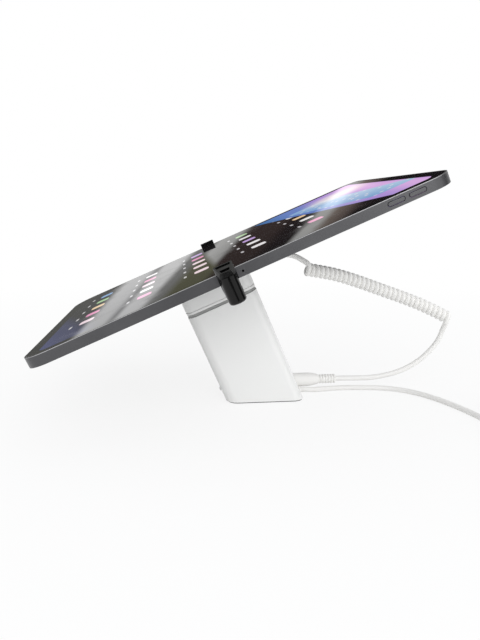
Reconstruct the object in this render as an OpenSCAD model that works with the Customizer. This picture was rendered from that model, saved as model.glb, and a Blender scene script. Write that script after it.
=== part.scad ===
// Tablet security kiosk stand: a leaning column, a lift-off head on a curly tether,
// two sliding claws and the display tablet that they hold. Millimetres, floor at Z = 0,
// +X towards the raised end of the tablet, origin at the middle of the foot.

/* [Column] */
// Lean of the column and tilt of the tablet, degrees
tilt = 23.3; // [18:0.1:28]
// Column size from front to rear, square to its axis
stem_w = 48.5; // [46:0.5:60]
// Column size from side to side
stem_d = 44; // [42:0.5:56]
// Corner radius of the column
stem_r = 7; // [5:0.5:10]
// Wall of the column shell
stem_wall = 2.4; // [2:0.1:3]
// Height of the column shell along its axis
stem_h = 73.2; // [73:0.1:110]
// Thickness of the rubber pad under the foot
pad_t = 0.8; // [0.6:0.1:2]
// How far the pad stands in from the column's outline
pad_inset = 0.8; // [0.3:0.1:3]
// Thickness of the steel base plate
plate_t = 3.2; // [2.8:0.1:6]
// Height of the steel ballast block
ballast_h = 20; // [10:0.5:21]
// Distance between the two counter bolts
counter_pitch = 20; // [16:0.5:22]
// Radius of a counter bolt's tapped hole, M5
counter_r = 2.1; // [1.6:0.1:2.6]

/* [Column fittings] */
// Height of the tether socket above the floor
socket_z = 8.6; // [8.5:0.1:14]
// Outer radius of the tether socket
socket_r = 4.4; // [4:0.1:4.4]
// Length of the tether socket
socket_l = 10.5; // [8:0.5:12]
// Radius of the power gland
gland_r = 2.1; // [1.8:0.1:2.6]
// Height of the power gland above the floor
gland_z = 2.6; // [2.4:0.1:3]
// Sideways place of the power gland
gland_y = -4; // [-12:0.5:-4]
// Radius of the infrared receiver lens
lens_r = 1.9; // [1.2:0.1:2.2]
// Place of the lens up the column's axis
lens_s = 15.2; // [15.2:0.1:24]
// Radius of the siren
siren_r = 11; // [7:0.5:11.5]
// Thickness of the siren
siren_t = 6; // [3:0.5:10]
// Radius of the backup cell
cell_r = 7; // [5:0.5:7]
// Clear room above the backup cell, under the dock
cell_room = 2.1; // [1:0.1:12]
// Height of the alarm circuit board
board_h = 36; // [30:0.5:40]
// Thickness of the circuit boards
board_t = 1.6; // [0.8:0.1:2]

/* [Dock] */
// Thickness of the dock plate
dock_t = 3; // [2.6:0.1:4]
// Width of the ledge that carries the dock plate
dock_ledge = 1; // [0.6:0.1:1.2]
// Height of the light ring
ring_h = 1.8; // [1.6:0.1:4]
// How far the light ring stands in from the column's outline
ring_inset = 0.6; // [0.3:0.1:1.2]
// Width of the light ring
ring_wide = 5; // [4:0.1:6]
// Depth of the head's spigot in the light ring
spigot_h = 1.6; // [1:0.1:1.6]
// Radius of the dock magnets
magnet_r = 4; // [3:0.1:5]
// Thickness of the dock magnets
magnet_t = 2; // [1:0.1:2.2]
// Radius of a contact pin
pin_r = 0.6; // [0.4:0.05:0.8]
// Distance between contact pins
pin_pitch = 3; // [2.4:0.1:3.6]

/* [Head] */
// Thickness of the head's base plate
head_base_t = 1.5; // [1.4:0.1:3]
// Height of the shadow groove above the head's base
groove_h = 0.5; // [0.3:0.1:1]
// Depth of the shadow groove
groove_d = 0.8; // [0.4:0.1:1.2]
// Height of the head shell
head_h = 17.5; // [17:0.5:26]
// Wall of the head shell
head_wall = 2.2; // [2:0.1:3]
// Top skin of the head shell
head_skin = 1.5; // [1:0.1:2]
// Thickness of the grip pad under the tablet
head_pad_t = 1; // [0.6:0.1:2]
// Length of the tether gland's nose
tether_nose = 6; // [4:0.5:8]

/* [Tablet] */
// Length of the tablet
tablet_l = 247.6; // [235:0.5:280]
// Width of the tablet
tablet_w = 178.5; // [170:0.5:216]
// Thickness of the tablet
tablet_t = 6.2; // [5.6:0.1:7.5]
// Corner radius of the tablet
tablet_r = 14.5; // [10:0.5:18]
// How far the tablet's middle lies up-slope of the column's axis
tablet_shift = 15.8; // [0:0.1:20]
// Width of the metal rim around the glass
rim = 1; // [0.8:0.1:1.4]
// Side wall of the tablet housing
frame_wall = 1.6; // [1.5:0.1:2.5]
// Back skin of the tablet housing
frame_skin = 0.8; // [0.6:0.1:1.2]
// Thickness of the cover glass
glass_t = 0.9; // [0.5:0.1:1.1]
// Black border around the lit screen
bezel = 8.5; // [6:0.5:14]
// Thickness of the display panel
panel_t = 1.4; // [1:0.1:1.6]
// Length of a side key
key_l = 9.6; // [7:0.1:9.8]
// Height of a side key
key_h = 2.2; // [1.6:0.1:2.6]
// How far a side key stands proud
key_proud = 0.3; // [0.1:0.05:0.5]

/* [Claws] */
// Place of the claws along the tablet, from its middle
claw_u = -7.6; // [-12:0.1:-5]
// Width of a claw's cap
cap_w = 10.6; // [10:0.1:12]
// Reach of a claw's lip over the glass
lip = 3.3; // [2.5:0.1:4]
// Height of the lip's inner edge above the glass
lip_top = 3.6; // [3:0.1:4.2]
// Slope of the cap's top, degrees
cap_slope = 17.5; // [10:0.5:22]
// Drop of the cap's underside below the glass
cap_drop = 2.2; // [1.8:0.1:3]
// Rim around the recess in the cap
cap_rim = 0.8; // [0.6:0.1:1]
// Bevel around the cap's top, seen from above
cap_bevel = 1; // [0.6:0.1:1.2]
// Width of the cap's outer end, between its rounded corners' outsides
cap_front = 8.8; // [8.6:0.1:9.6]
// Width of the side plate that hugs the tablet's edge
cheek_w = 10.4; // [10:0.1:16]
// Thickness of that side plate
cheek_t = 1.5; // [1:0.1:2]
// Radius of the half-round post
post_r = 4.8; // [4.6:0.1:6]
// Drop of the post below the tablet's back
post_drop = 11.3; // [10:0.1:14]
// Width of a claw arm
arm_w = 10; // [8:0.1:10]
// Thickness of a claw arm
arm_t = 2.5; // [2:0.1:3]
// Outward travel of a claw arm
arm_travel = 10; // [4:0.5:10]
// Upward travel of a claw hook
hook_travel = 3; // [1:0.5:3]

/* [Cords] */
// Diameter of the tether cord
tether_d = 3.3; // [2.4:0.05:3.4]
// Radius of the tether's curls, at the middle of the cord
curl_r = 2.85; // [2.6:0.05:3.6]
// Number of curls
curls = 31; // [20:1:31]
// Diameter of the power cord
power_d = 3.5; // [2.6:0.05:3.5]
// Radius at the middle of the put-away coil
coil_r = 19.2; // [17:0.1:22]
// Turns in each layer of the coil, between the climbs
coil_turns = 2.5; // [1.5:1:2.5]
// Step from one turn of the coil to the next
coil_step = 4.35; // [4.3:0.05:5]
// Step from one layer of the coil to the next
coil_rise = 4.55; // [4.5:0.05:5]

/* [Fits] */
// Gap between pieces that slide or lift apart
move_gap = 0.3; // [0.2:0.05:0.4]
// Gap around fixed pieces that drop into a seat
seat_gap = 0.1; // [0.05:0.01:0.2]
// Radial gap of a screw in its hole
screw_gap = 0.1; // [0.05:0.01:0.2]

/* [Hidden] */
$fn = 64;

// Paint and material colours
white = [0.93, 0.93, 0.92];
cord_white = [0.88, 0.88, 0.86];
black = [0.07, 0.07, 0.07];
steel = [0.62, 0.63, 0.65];
space_grey = [0.32, 0.32, 0.34];
board_green = [0.10, 0.30, 0.18];
gold = [0.83, 0.66, 0.30];

// A cutter's overshoot past the face that it cuts
over = 1;
// Longer than the whole column, for prisms that are trimmed afterwards
reach = 4 * stem_w;

// Inside of the column shell
inner_w = stem_w - 2 * stem_wall;
inner_d = stem_d - 2 * stem_wall;
inner_r = stem_r - stem_wall;
plate_top = pad_t + plate_t;
function front_x(z) = -inner_w / 2 / cos(tilt) - z * tan(tilt);
function rear_x(z) = inner_w / 2 / cos(tilt) - z * tan(tilt);
function wall_rear_x(z) = stem_w / 2 / cos(tilt) - z * tan(tilt);

// Foot bosses and their M3 screws
m3_r = 1.5;
m3_head_r = 2.75;
m3_head_h = 1.7;
boss_r = 3.8;
boss_h = 10;
plate_edge = 0.4;
boss_y = inner_d / 2 - seat_gap - m3_head_r - screw_gap - plate_edge;
boss_front_inset = 8;
boss_rear_gap = 1.5;
boss_front_x = front_x(plate_top) + boss_front_inset;
boss_rear_x = rear_x(plate_top + boss_h) - boss_r - boss_rear_gap;
boss_places = [for (x = [boss_front_x, boss_rear_x], y = [-boss_y, boss_y]) [x, y]];
screw_bite = 6;

// Ballast block, between the front bosses and the tether socket
ballast_room = 1;
socket_x0 = rear_x(socket_z) - socket_l;
ballast_x0 = boss_front_x + boss_r + ballast_room;
ballast_x1 = min(socket_x0, boss_rear_x - boss_r) - ballast_room;
ballast_y = inner_d / 2 - ballast_room;
ballast_top = plate_top + ballast_h;
ballast_screw_y = 9;
ballast_mid_x = (ballast_x0 + ballast_x1) / 2;

// Backup cell, standing along the column's axis behind the ballast's top edge
cell_wall = 1.2;
cell_fit = 0.2;
cell_p = inner_w / 2 - cell_r - cell_fit - cell_wall - over;
cell_q = -(inner_d / 2 - cell_r - cell_fit - cell_wall - over);
cell_s = (ballast_top + ballast_room - (cell_p - cell_r) * sin(tilt)) / cos(tilt);
deck_s = stem_h - dock_t;
cell_l = deck_s - cell_room - over - cell_s;
cell_button_r = cell_r / 3;
clip_h = 5;
clip_inset = 6;
clip_mouth = 9;

// Siren on the far wall, below the dock
siren_room = 6;
siren_s = deck_s - siren_r - siren_room;
siren_p = inner_w / 2 - inner_r - siren_r - seat_gap;
siren_slots = 5;
siren_slot_w = 1.2;
siren_slot_l = 12;
siren_slot_pitch = 2.6;

// Alarm board on standoffs on the front wall
standoff_h = 3;
standoff_r = 2.4;
m2_r = 0.9;
m2_head_r = 1.8;
m2_head_h = 1.3;
board_p = -inner_w / 2 + standoff_h;
board_side_room = 0.4;
board_q = inner_d / 2 - inner_r - board_side_room;
board_top_room = 4;
board_s1 = deck_s - board_top_room;
board_s0 = board_s1 - board_h;
board_hole_inset = 3;
board_holes = [for (q = [-1, 1], s = [board_s0 + board_hole_inset, board_s1 - board_hole_inset])
  [q * (board_q - board_hole_inset), s]];
// Chips on the alarm board: [across, up from the board's foot, width, height, thickness]
chips = [[-6, 12, 10, 10, 1.2], [7, 10, 6, 8, 1.6], [0, 24, 14, 5, 4.2],
  [-11, 24, 4, 4, 2.4], [10.5, 24, 5, 4, 2]];

// Infrared lens
lens_proud = 2;

// Dock, light ring and the head's base, up the column's axis
pocket_wall = stem_wall - dock_ledge;
pocket_r = stem_r - pocket_wall;
dock_gap = 0.2;
ring_top = stem_h + ring_h;
base0 = ring_top + dock_gap;
base1 = base0 + head_base_t;
shell0 = base1 + groove_h;
shell1 = shell0 + head_h;
back_s = shell1 + head_pad_t;
glass_s = back_s + tablet_t;
opening_w = stem_w - 2 * ring_wide;
opening_d = stem_d - 2 * ring_wide;
opening_r = 4;
spigot_w = opening_w - 2 * move_gap;
spigot_d = opening_d - 2 * move_gap;
spigot_s = base0 - spigot_h;
magnet_p = 12;
magnet_places = [-magnet_p, magnet_p];
pin_count = 4;
pin_places = [for (i = [0:pin_count - 1]) (i - (pin_count - 1) / 2) * pin_pitch];
pin_gap = 0.1;
pin_foot = 0.3;
pad_r = 1;
contact_t = 0.3;

// Head screws, M2.5
m25_r = 1.25;
m25_head_r = 2.2;
m25_head_h = 1.1;
head_boss_r = 2.6;
head_screw_inset = 5;
head_screw_l = 8;
head_places = [for (x = [-1, 1], y = [-1, 1])
  [x * (stem_w / 2 - head_screw_inset), y * (stem_d / 2 - head_screw_inset)]];
head_post_h = 2.2;
head_post_r = 2;
head_post_p = 11;
head_post_q = 9;
head_board_l = 30;
head_board_w = 26;
head_board_s = base1 + head_post_h;

// Claw arms in their guide
arm_gap = 0.25;
arm_p = claw_u + tablet_shift;
guide_wall = 2.2;
guide_roof = 1.2;
guide_floor = 2;
guide_d = stem_d - 2 * head_wall - 2 * seat_gap;
guide_s1 = shell1 - head_skin - seat_gap;
arm_s1 = guide_s1 - guide_roof - arm_gap;
arm_s0 = arm_s1 - arm_t;
guide_s0 = arm_s0 - arm_gap - guide_floor;
guide_w = arm_w + 2 * arm_gap + 2 * guide_wall;
lock_edge = 5.5;
lock_q = stem_d / 2 - lock_edge;
lock_head_h = 2;
lock_slot_gap = 0.3;
lock_slot_r = m3_r + lock_slot_gap;
arm_end_wall = 2;
arm_inner_q = lock_q - arm_travel - lock_slot_r - arm_end_wall;
tenon_w = 4;
tenon_skin = 1.1;

// Hook and post, from the tablet's edge outwards and from the glass upwards
lip_pad_t = 0.6;
lip_under = move_gap + lip_pad_t;
cap_corner = 2;
cap_side = 0.5;
cap_lean = 11;
cap_over = 0.6;
cap_ways = [cap_lean, 50, 90, 130, 180 - cap_lean];
bevel_lean = 35;
ledge_depth = 0.6;
ledge_w = 0.5;
ledge_end = 5.2;
recess_depth = 1.5;
cheek_bottom = move_gap - tablet_t;
post_y = move_gap + cheek_t + move_gap;
post_top = -cap_drop - move_gap;
post_bottom = -tablet_t - post_drop;
post_fillet = 1.5;
stem_pin_r = 1.5;
stem_pin_in = 2.1;
stem_pin_y = post_y + stem_pin_in;
stem_pin_hold = 2.5;
stem_pin_bottom = post_top - hook_travel - stem_pin_hold;
stem_pin_room = 0.6;
grub_in = 1.8;
grub_y = post_y + grub_in;
cap_nose = post_y + post_r + cap_over;
grub_sink = 0.5;
cheek_bite = 0.5;
lip_pad_inset = 0.5;

// Side keys: middles along the near edge, and the power key on the raised end
key_w = -3;
volume_up_inset = 23.3;
volume_pitch = 12.2;
power_key_inset = 27.25;
volume_up_u = tablet_l / 2 - volume_up_inset;
volume_down_u = volume_up_u - volume_pitch;
power_key_v = tablet_w / 2 - power_key_inset;
key_depth = 1.1;
key_gap = 0.3;
mic_u = 1;
mic_w = -3.5;
mic_r = 0.65;
port_l = 9;
port_h = 3.2;
speaker_r = 0.7;
speaker_pitch = 3;
speaker_count = 5;
speaker_inset = 33.25;
speaker_start = tablet_w / 2 - speaker_inset - (speaker_count - 1) * speaker_pitch;

// Inside and back of the tablet
battery_margin = 29.25;
battery_w = tablet_w - 2 * battery_margin;
battery_end_gap = 28.8;
battery_top_inset = 78.8;
battery_u = tablet_l / 2 - battery_top_inset;
battery_l = tablet_l - battery_top_inset - battery_end_gap;
logic_gap = 4;
logic_u = battery_u + logic_gap;
logic_l = 46;
logic_margin = 24.25;
logic_w = tablet_w - 2 * logic_margin;
logic_chip = 14;
camera_r = 6.5;
camera_inset = 17;
camera_proud = 1.4;
camera_recess = 0.4;
camera_rim = 1.2;
tray_floor = frame_skin - tablet_t;

// Tether plug and its ribbed strain relief, along +X from the socket
plug_nose_r = 2.9;
plug_nose_in = 8;
plug_body_r = 4.7;
plug_shoulder_x = 35;
plug_neck_x = 40.2;
plug_rib_r = 3.2;
plug_groove_r = 2.6;
plug_ribs = 6;
plug_rib_pitch = 2;
plug_rib_share = 0.4;
plug_edge_l = 2;
plug_edge_r = 0.25;
plug_neck_l = 1.8;
plug_neck_r = 0.55;
plug_end_x = plug_neck_x + plug_ribs * plug_rib_pitch;

// Gland of the tether in the head's rear face
tether_below = 8.1;
tether_s = shell1 - tether_below;
tether_gland_r = 3.2;
tether_flange_t = 1.2;
tether_flange_r = 4.4;
tether_tip_wall = 0.6;
tether_tip_r = tether_d / 2 + tether_tip_wall;
tether_tip_p = stem_w / 2 + tether_flange_t + tether_nose;

// Routes of the free cords, chosen by hand
tether_head_route = [[4, 0, 96], [12.4, 0, 97.3], [20.3, 0, 96.4], [26.2, -1.4, 93.7]];
tether_axis_route = [[30, 0, 86.9], [47.1, 3.6, 83.5], [59.6, 5.6, 80.1], [73.4, 7.2, 75.4],
  [88.3, 8.2, 70], [102.2, 8.2, 65], [116, 7, 59.6], [129.3, 4.6, 53.3], [134.4, 3.4, 50.6]];
tether_base_route = [[132, 3.6, 41.3], [129.6, 4.4, 33.8], [125, 4.6, 27.2], [117.1, 4.2, 19.8],
  [108.1, 3.4, 14.5], [99.3, 2.6, 11.2], [89.8, 1.8, 9.2], [79.1, 1, 8.1], [69.3, 0.4, 8.2], [58, 0, 8.6]];
power_route = [[31, -4, 2.5], [36.5, -3.6, 2], [42.5, -2.6, 1.8], [50, -1.6, 1.8], [60, -1.3, 1.8],
  [70.5, -2.1, 1.8], [81, -3.7, 1.8], [91, -6.8, 1.8], [100, -12.4, 1.8], [107.5, -20.2, 1.8],
  [113, -28.8, 1.8], [117.4, -37.7, 1.8], [121, -47, 1.8], [124, -56.5, 1.8], [126.3, -66, 1.85],
  [128.6, -75.6, 2.25]];
tail_route = [[178.7, -65.1, 14.6], [178.3, -55.1, 11.3], [178.9, -45.1, 7.7], [180.7, -35.5, 5]];
tail_end = [182.5, -26.7, 3.9];
tail_way = [0.2, 0.98, 0];

// The put-away coil
coil_middle = [155.93, -81.54];
coil_start = 193.3;
tie_t = 0.5;
tie_w = 5;
tie_gap = 0.3;
tie_inner_gap = 0.8;
tie_angle = 95;
tie_floor_gap = 0.05;
coil_z = power_d / 2 + tie_gap + tie_t + tie_floor_gap;
coil_layers = 4;
coil_in = coil_r - coil_turns * coil_step / 2;
coil_out = coil_r + coil_turns * coil_step / 2;
coil_total = coil_layers * coil_turns + (coil_layers - 1) / 2;
loop_rings = 24;
curl_rings = 8;
form_sides = 6;
lead_sides = 8;

// Plug on the power cord: moulded grip and metal shell, lying flat
grip_l = 22;
grip_w = 15;
grip_h = 7.6;
grip_r = 2.5;
shell_l = 12;
shell_w = 12;
shell_h = 4.5;
shell_wall = 0.4;
tongue_h = 1.8;

// Vectors and routes
function unit(v) = v / norm(v);
function heading(p, i) = unit(p[min(i + 1, len(p) - 1)] - p[max(i - 1, 0)]);
function bend(a, b, c, d, t) =
  b + 0.5 * t * (c - a + t * (2 * a - 5 * b + 4 * c - d + t * (3 * (b - c) + d - a)));
function smooth(p, steps) = let(n = len(p) - 1) concat(
  [for (i = [0:n - 1], k = [0:steps - 1])
    bend(p[max(i - 1, 0)], p[i], p[i + 1], p[min(i + 2, n)], k / steps)], [p[n]]);
function run_lengths(p) = let(n = len(p) - 1)
  [for (i = 0, s = 0; i <= n; i = i + 1, s = s + norm(p[min(i, n)] - p[i - 1])) s];
function route_length(p) = run_lengths(p)[len(p) - 1];
function total_length(paths) = [for (p = paths) route_length(p)] * [for (p = paths) 1];
function least_gap(p, skip, d) = let(n = len(p) - 1)
  min([for (i = [0:n - skip], j = [i + skip:n]) norm(p[i] - p[j])]) - d;

// Curly tether: a helix on the smoothed axis, starting on the near side and going down and round.
// Its real curls touch; here they are drawn slimmer than the leads, so that they stay apart
axis_fine = smooth(tether_axis_route, 8);
axis_runs = run_lengths(axis_fine);
axis_table = [for (k = [0:2]) [for (i = [0:len(axis_fine) - 1]) [axis_runs[i], axis_fine[i][k]]]];
axis_total = axis_runs[len(axis_runs) - 1];
curl_pitch = axis_total / curls;
curl_gap = 0.57;
curl_d = min(tether_d, curl_pitch - curl_gap);
up = [0, 0, 1];
side = [0, 1, 0];
function axis_at(s) = [for (k = [0:2]) lookup(s, axis_table[k])];
function axis_way(s) = unit(axis_at(min(s + curl_pitch, axis_total)) - axis_at(max(s - curl_pitch, 0)));
function near_side(s) = unit(cross(axis_way(s), up));
function upper_side(s) = cross(near_side(s), axis_way(s));
function curl_out(t) = cos(360 * t) * near_side(t * curl_pitch) - sin(360 * t) * upper_side(t * curl_pitch);
function curl_at(t) = axis_at(t * curl_pitch) + curl_r * curl_out(t);
function curl_way(s) = unit(curl_pitch * axis_way(s) - 2 * PI * curl_r * upper_side(s));
curl_first = curl_way(0);
curl_last = curl_way(axis_total);
curl_steps = [for (i = [0:curls * curl_rings]) i / curl_rings];
curl_path = concat([curl_at(0) - tether_d * curl_first], [for (t = curl_steps) curl_at(t)],
  [curl_at(curls) + tether_d * curl_last]);
curl_refs = concat([curl_out(0)], [for (t = curl_steps) curl_out(t)], [curl_out(curls)]);

// Free leads of the tether
function from_lean(p, q, s) = [p * cos(tilt) - s * sin(tilt), q, p * sin(tilt) + s * cos(tilt)];
rear_way = from_lean(1, 0, 0);
tether_tip = from_lean(tether_tip_p, 0, tether_s);
head_lead = smooth(concat([tether_tip, tether_tip + tether_d * rear_way], tether_head_route,
  [curl_path[0]]), 2);
base_lead = smooth(concat([curl_path[len(curl_path) - 1]], tether_base_route,
  [[plug_end_x, 0, socket_z]]), 2);

// Power cord, its put-away coil and its tail
coil_span = coil_turns + 0.5;
function coil_layer(t) = min(floor(t / coil_span), coil_layers - 1);
function coil_part(t) = t - coil_layer(t) * coil_span;
function coil_reach(t) = let(w = coil_step * min(coil_part(t), coil_turns))
  coil_layer(t) % 2 == 0 ? coil_out - w : coil_in + w;
function coil_height(t) = coil_z + coil_rise * (coil_layer(t) + 2 * max(coil_part(t) - coil_turns, 0));
function coil_at(t) = let(a = coil_start + 360 * t, r = coil_reach(t))
  [coil_middle[0] + r * cos(a), coil_middle[1] + r * sin(a), coil_height(t)];
coil_first = unit(coil_at(1 / loop_rings / 8) - coil_at(0));
coil_last = unit(coil_at(coil_total) - coil_at(coil_total - 1 / loop_rings / 8));
coil_path = concat([coil_at(0) - power_d * coil_first],
  [for (i = [0:coil_total * loop_rings]) coil_at(i / loop_rings)],
  [coil_at(coil_total) + power_d * coil_last]);
gland_in = 3;
gland_out = 1.9;
gland_x0 = rear_x(gland_z) - gland_in;
gland_x1 = wall_rear_x(gland_z) + gland_out;
power_lead = concat([[gland_x1, gland_y, gland_z]], power_route, [coil_path[0]]);
tail_lead = smooth(concat([coil_path[len(coil_path) - 1]], tail_route, [tail_end]), 2);

// Frames of reference
module lean() { rotate([0, -tilt, 0]) children(); }
module on_glass() { lean() translate([tablet_shift, 0, glass_s]) children(); }
module mirrored(far) { mirror([0, far ? 0 : 1, 0]) children(); }
module at_edge(far) { on_glass() mirrored(far) translate([claw_u, tablet_w / 2, 0]) children(); }

// Plain shapes
module rounded(l, w, r) {
  square([l, w - 2 * r], center = true);
  square([l - 2 * r, w], center = true);
  for (x = [-1, 1], y = [-1, 1]) translate([x * (l / 2 - r), y * (w / 2 - r)]) circle(r);
}
module slab(l, w, r, z0, z1) { translate([0, 0, z0]) linear_extrude(z1 - z0) rounded(l, w, r); }
module rod(r, z0, z1) { translate([0, 0, z0]) cylinder(r = r, h = z1 - z0); }
module rod_x(r, x0, x1) { translate([x0, 0, 0]) rotate([0, 90, 0]) cylinder(r = r, h = x1 - x0); }
module turned_x(profile) { rotate([0, 90, 0]) rotate_extrude() polygon(profile); }
module box(x0, x1, y0, y1, z0, z1) { translate([x0, y0, z0]) cube([x1 - x0, y1 - y0, z1 - z0]); }
module level(z0, z1) { box(-reach, reach, -reach, reach, z0, z1); }
module stadium(l, h) {
  square([l - h, h], center = true);
  for (x = [-1, 1]) translate([x * (l - h) / 2, 0]) circle(h / 2);
}
module stadium_bar(l, h, z0, z1) { translate([0, 0, z0]) linear_extrude(z1 - z0) stadium(l, h); }
module column(gap) { lean() slab(stem_w + 2 * gap, stem_d + 2 * gap, stem_r + gap, -reach / 2, stem_h); }
module cavity(gap, top) {
  lean() slab(inner_w - 2 * gap, inner_d - 2 * gap, inner_r - gap, -reach / 2, top);
}

// A round cord swept along its path, with square ends
function ring_at(c, way, ref, r, sides) = let(a = unit(ref - (ref * way) * way), b = cross(way, a))
  [for (k = [0:sides - 1]) c + r * (cos(360 * k / sides) * a + sin(360 * k / sides) * b)];
module tube(path, refs, r, sides, first, last) {
  n = len(path);
  ways = [for (i = [0:n - 1]) i == 0 ? first : i == n - 1 ? last : heading(path, i)];
  points = [for (i = [0:n - 1]) each ring_at(path[i], ways[i], refs[i], r, sides)];
  end = (n - 1) * sides;
  walls = [for (i = [0:n - 2], k = [0:sides - 1]) let(a = i * sides + k, b = i * sides + (k + 1) % sides)
    each [[a, a + sides, b + sides], [a, b + sides, b]]];
  caps = [for (k = [1:sides - 2]) each [[0, k, k + 1], [end, end + k + 1, end + k]]];
  polyhedron(points, concat(walls, caps));
}
module lead(path, ref, d, first, last) { tube(path, [for (p = path) ref], d / 2, lead_sides, first, last); }

// Column shell, open below, with bosses, standoffs and the openings for its fittings
module gland_opening() {
  translate([0, gland_y, gland_z]) rod_x(gland_r + seat_gap, gland_x0 - over, reach);
  box(gland_x0 - over, reach, gland_y - gland_r - seat_gap, gland_y + gland_r + seat_gap, 0, gland_z);
}
module siren_openings() {
  lean() for (i = [0:siren_slots - 1])
    translate([siren_p + (i - (siren_slots - 1) / 2) * siren_slot_pitch - siren_slot_w / 2,
      inner_d / 2 - over, siren_s - siren_slot_l / 2])
      cube([siren_slot_w, stem_wall + 2 * over, siren_slot_l]);
}
module base_shell() {
  color(white) difference() {
    union() {
      difference() {
        column(0);
        cavity(0, stem_h + over);
        lean() slab(stem_w - 2 * pocket_wall, stem_d - 2 * pocket_wall, pocket_r, deck_s, stem_h + over);
      }
      for (p = boss_places) translate(p) rod(boss_r, plate_top, plate_top + boss_h);
      lean() for (h = board_holes) translate([0, h[0], h[1]]) rod_x(standoff_r, -inner_w / 2 - over, board_p);
    }
    level(-reach, pad_t);
    for (p = boss_places) translate(p) rod(m3_r + screw_gap, plate_top - over, plate_top + screw_bite + over);
    lean() for (h = board_holes) translate([0, h[0], h[1]])
      rod_x(m2_r + screw_gap, -inner_w / 2 + screw_gap, board_p + over);
    translate([0, 0, socket_z]) rod_x(plug_nose_r + seat_gap, socket_x0, reach);
    gland_opening();
    lean() translate([0, 0, lens_s]) rod_x(lens_r + seat_gap, -stem_w, -inner_w / 2 + over);
    siren_openings();
  }
}

// Steel plate in the foot, tapped for two counter bolts
counter_places = [for (y = [-1, 1]) [boss_front_x, y * counter_pitch / 2]];
ballast_places = [for (y = [-1, 1]) [ballast_mid_x, y * ballast_screw_y]];
module base_plate() {
  color(steel) difference() {
    intersection() {
      cavity(seat_gap, deck_s);
      level(pad_t, plate_top);
    }
    for (p = counter_places) translate(p) rod(counter_r, 0, plate_top + over);
    for (p = concat(boss_places, ballast_places)) translate(p) {
      rod(m3_r + screw_gap, 0, plate_top + over);
      rod(m3_head_r + screw_gap, 0, pad_t + m3_head_h);
    }
    gland_opening();
  }
}
module base_pad() {
  color(black) difference() {
    intersection() {
      column(-pad_inset);
      level(0, pad_t);
    }
    for (p = counter_places) translate(p) rod(counter_r + over, -over, plate_top);
  }
}
module m3_screw(z0, head, tip) {
  rod(m3_head_r, z0, head);
  rod(m3_r, z0, tip);
}
module plate_screws() {
  color(steel) for (p = boss_places) translate(p)
    m3_screw(pad_t + screw_gap, pad_t + m3_head_h, plate_top + screw_bite);
}
module ballast() {
  color(steel) difference() {
    box(ballast_x0, ballast_x1, -ballast_y, ballast_y, plate_top, ballast_top);
    for (p = ballast_places) translate(p)
      rod(m3_r + screw_gap, plate_top - over, plate_top + screw_bite + over);
  }
}
module ballast_screws() {
  color(steel) for (p = ballast_places) translate(p)
    m3_screw(pad_t + screw_gap, pad_t + m3_head_h, plate_top + screw_bite);
}

// Electronics in the column
module alarm_board() {
  color(board_green) lean() difference() {
    box(board_p, board_p + board_t, -board_q, board_q, board_s0, board_s1);
    for (h = board_holes) translate([0, h[0], h[1]])
      rod_x(m2_r + screw_gap, board_p - over, board_p + board_t + over);
  }
}
module board_chips() {
  color(black) lean() for (c = chips)
    translate([board_p + board_t, c[0] - c[2] / 2, board_s0 + c[1] - c[3] / 2]) cube([c[4], c[2], c[3]]);
}
module board_screws() {
  color(steel) lean() for (h = board_holes) translate([0, h[0], h[1]]) {
    rod_x(m2_r, board_p - standoff_h + 2 * screw_gap + m2_r, board_p + board_t + m2_head_h);
    rod_x(m2_head_r, board_p + board_t, board_p + board_t + m2_head_h);
  }
}
module siren() {
  color(black) lean() translate([siren_p, inner_d / 2 - siren_t, siren_s])
    rotate([-90, 0, 0]) cylinder(r = siren_r, h = siren_t);
}
module backup_cell() {
  color("steelblue") lean() translate([cell_p, cell_q, 0]) {
    rod(cell_r, cell_s, cell_s + cell_l);
    rod(cell_button_r, cell_s, cell_s + cell_l + over);
  }
}
module cell_clips() {
  color(black) lean() for (s = [cell_s + clip_inset, cell_s + cell_l - clip_inset - clip_h]) difference() {
    union() {
      translate([cell_p, cell_q, 0]) rod(cell_r + cell_fit + cell_wall, s, s + clip_h);
      box(cell_p, inner_w / 2, cell_q - clip_mouth / 2, cell_q + clip_mouth / 2, s, s + clip_h);
    }
    translate([cell_p, cell_q, 0]) rod(cell_r + cell_fit, s - over, s + clip_h + over);
    box(cell_p - 2 * cell_r, cell_p, cell_q - clip_mouth / 2, cell_q + clip_mouth / 2,
      s - over, s + clip_h + over);
  }
}
module tether_socket() {
  color(black) difference() {
    intersection() {
      cavity(0, deck_s);
      translate([0, 0, socket_z]) rod_x(socket_r, socket_x0, reach);
    }
    translate([0, 0, socket_z]) rod_x(plug_nose_r + seat_gap, socket_x0 + over, reach);
  }
}
module power_gland() {
  color(cord_white) intersection() {
    translate([0, gland_y, gland_z]) rod_x(gland_r, gland_x0, gland_x1);
    level(pad_t + seat_gap, reach);
  }
}
module infrared_lens() {
  color(white) lean() translate([0, 0, lens_s]) {
    rod_x(lens_r, -stem_w / 2 - lens_proud + lens_r, -inner_w / 2 - seat_gap);
    translate([-stem_w / 2 - lens_proud + lens_r, 0, 0]) sphere(lens_r);
  }
}

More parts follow.
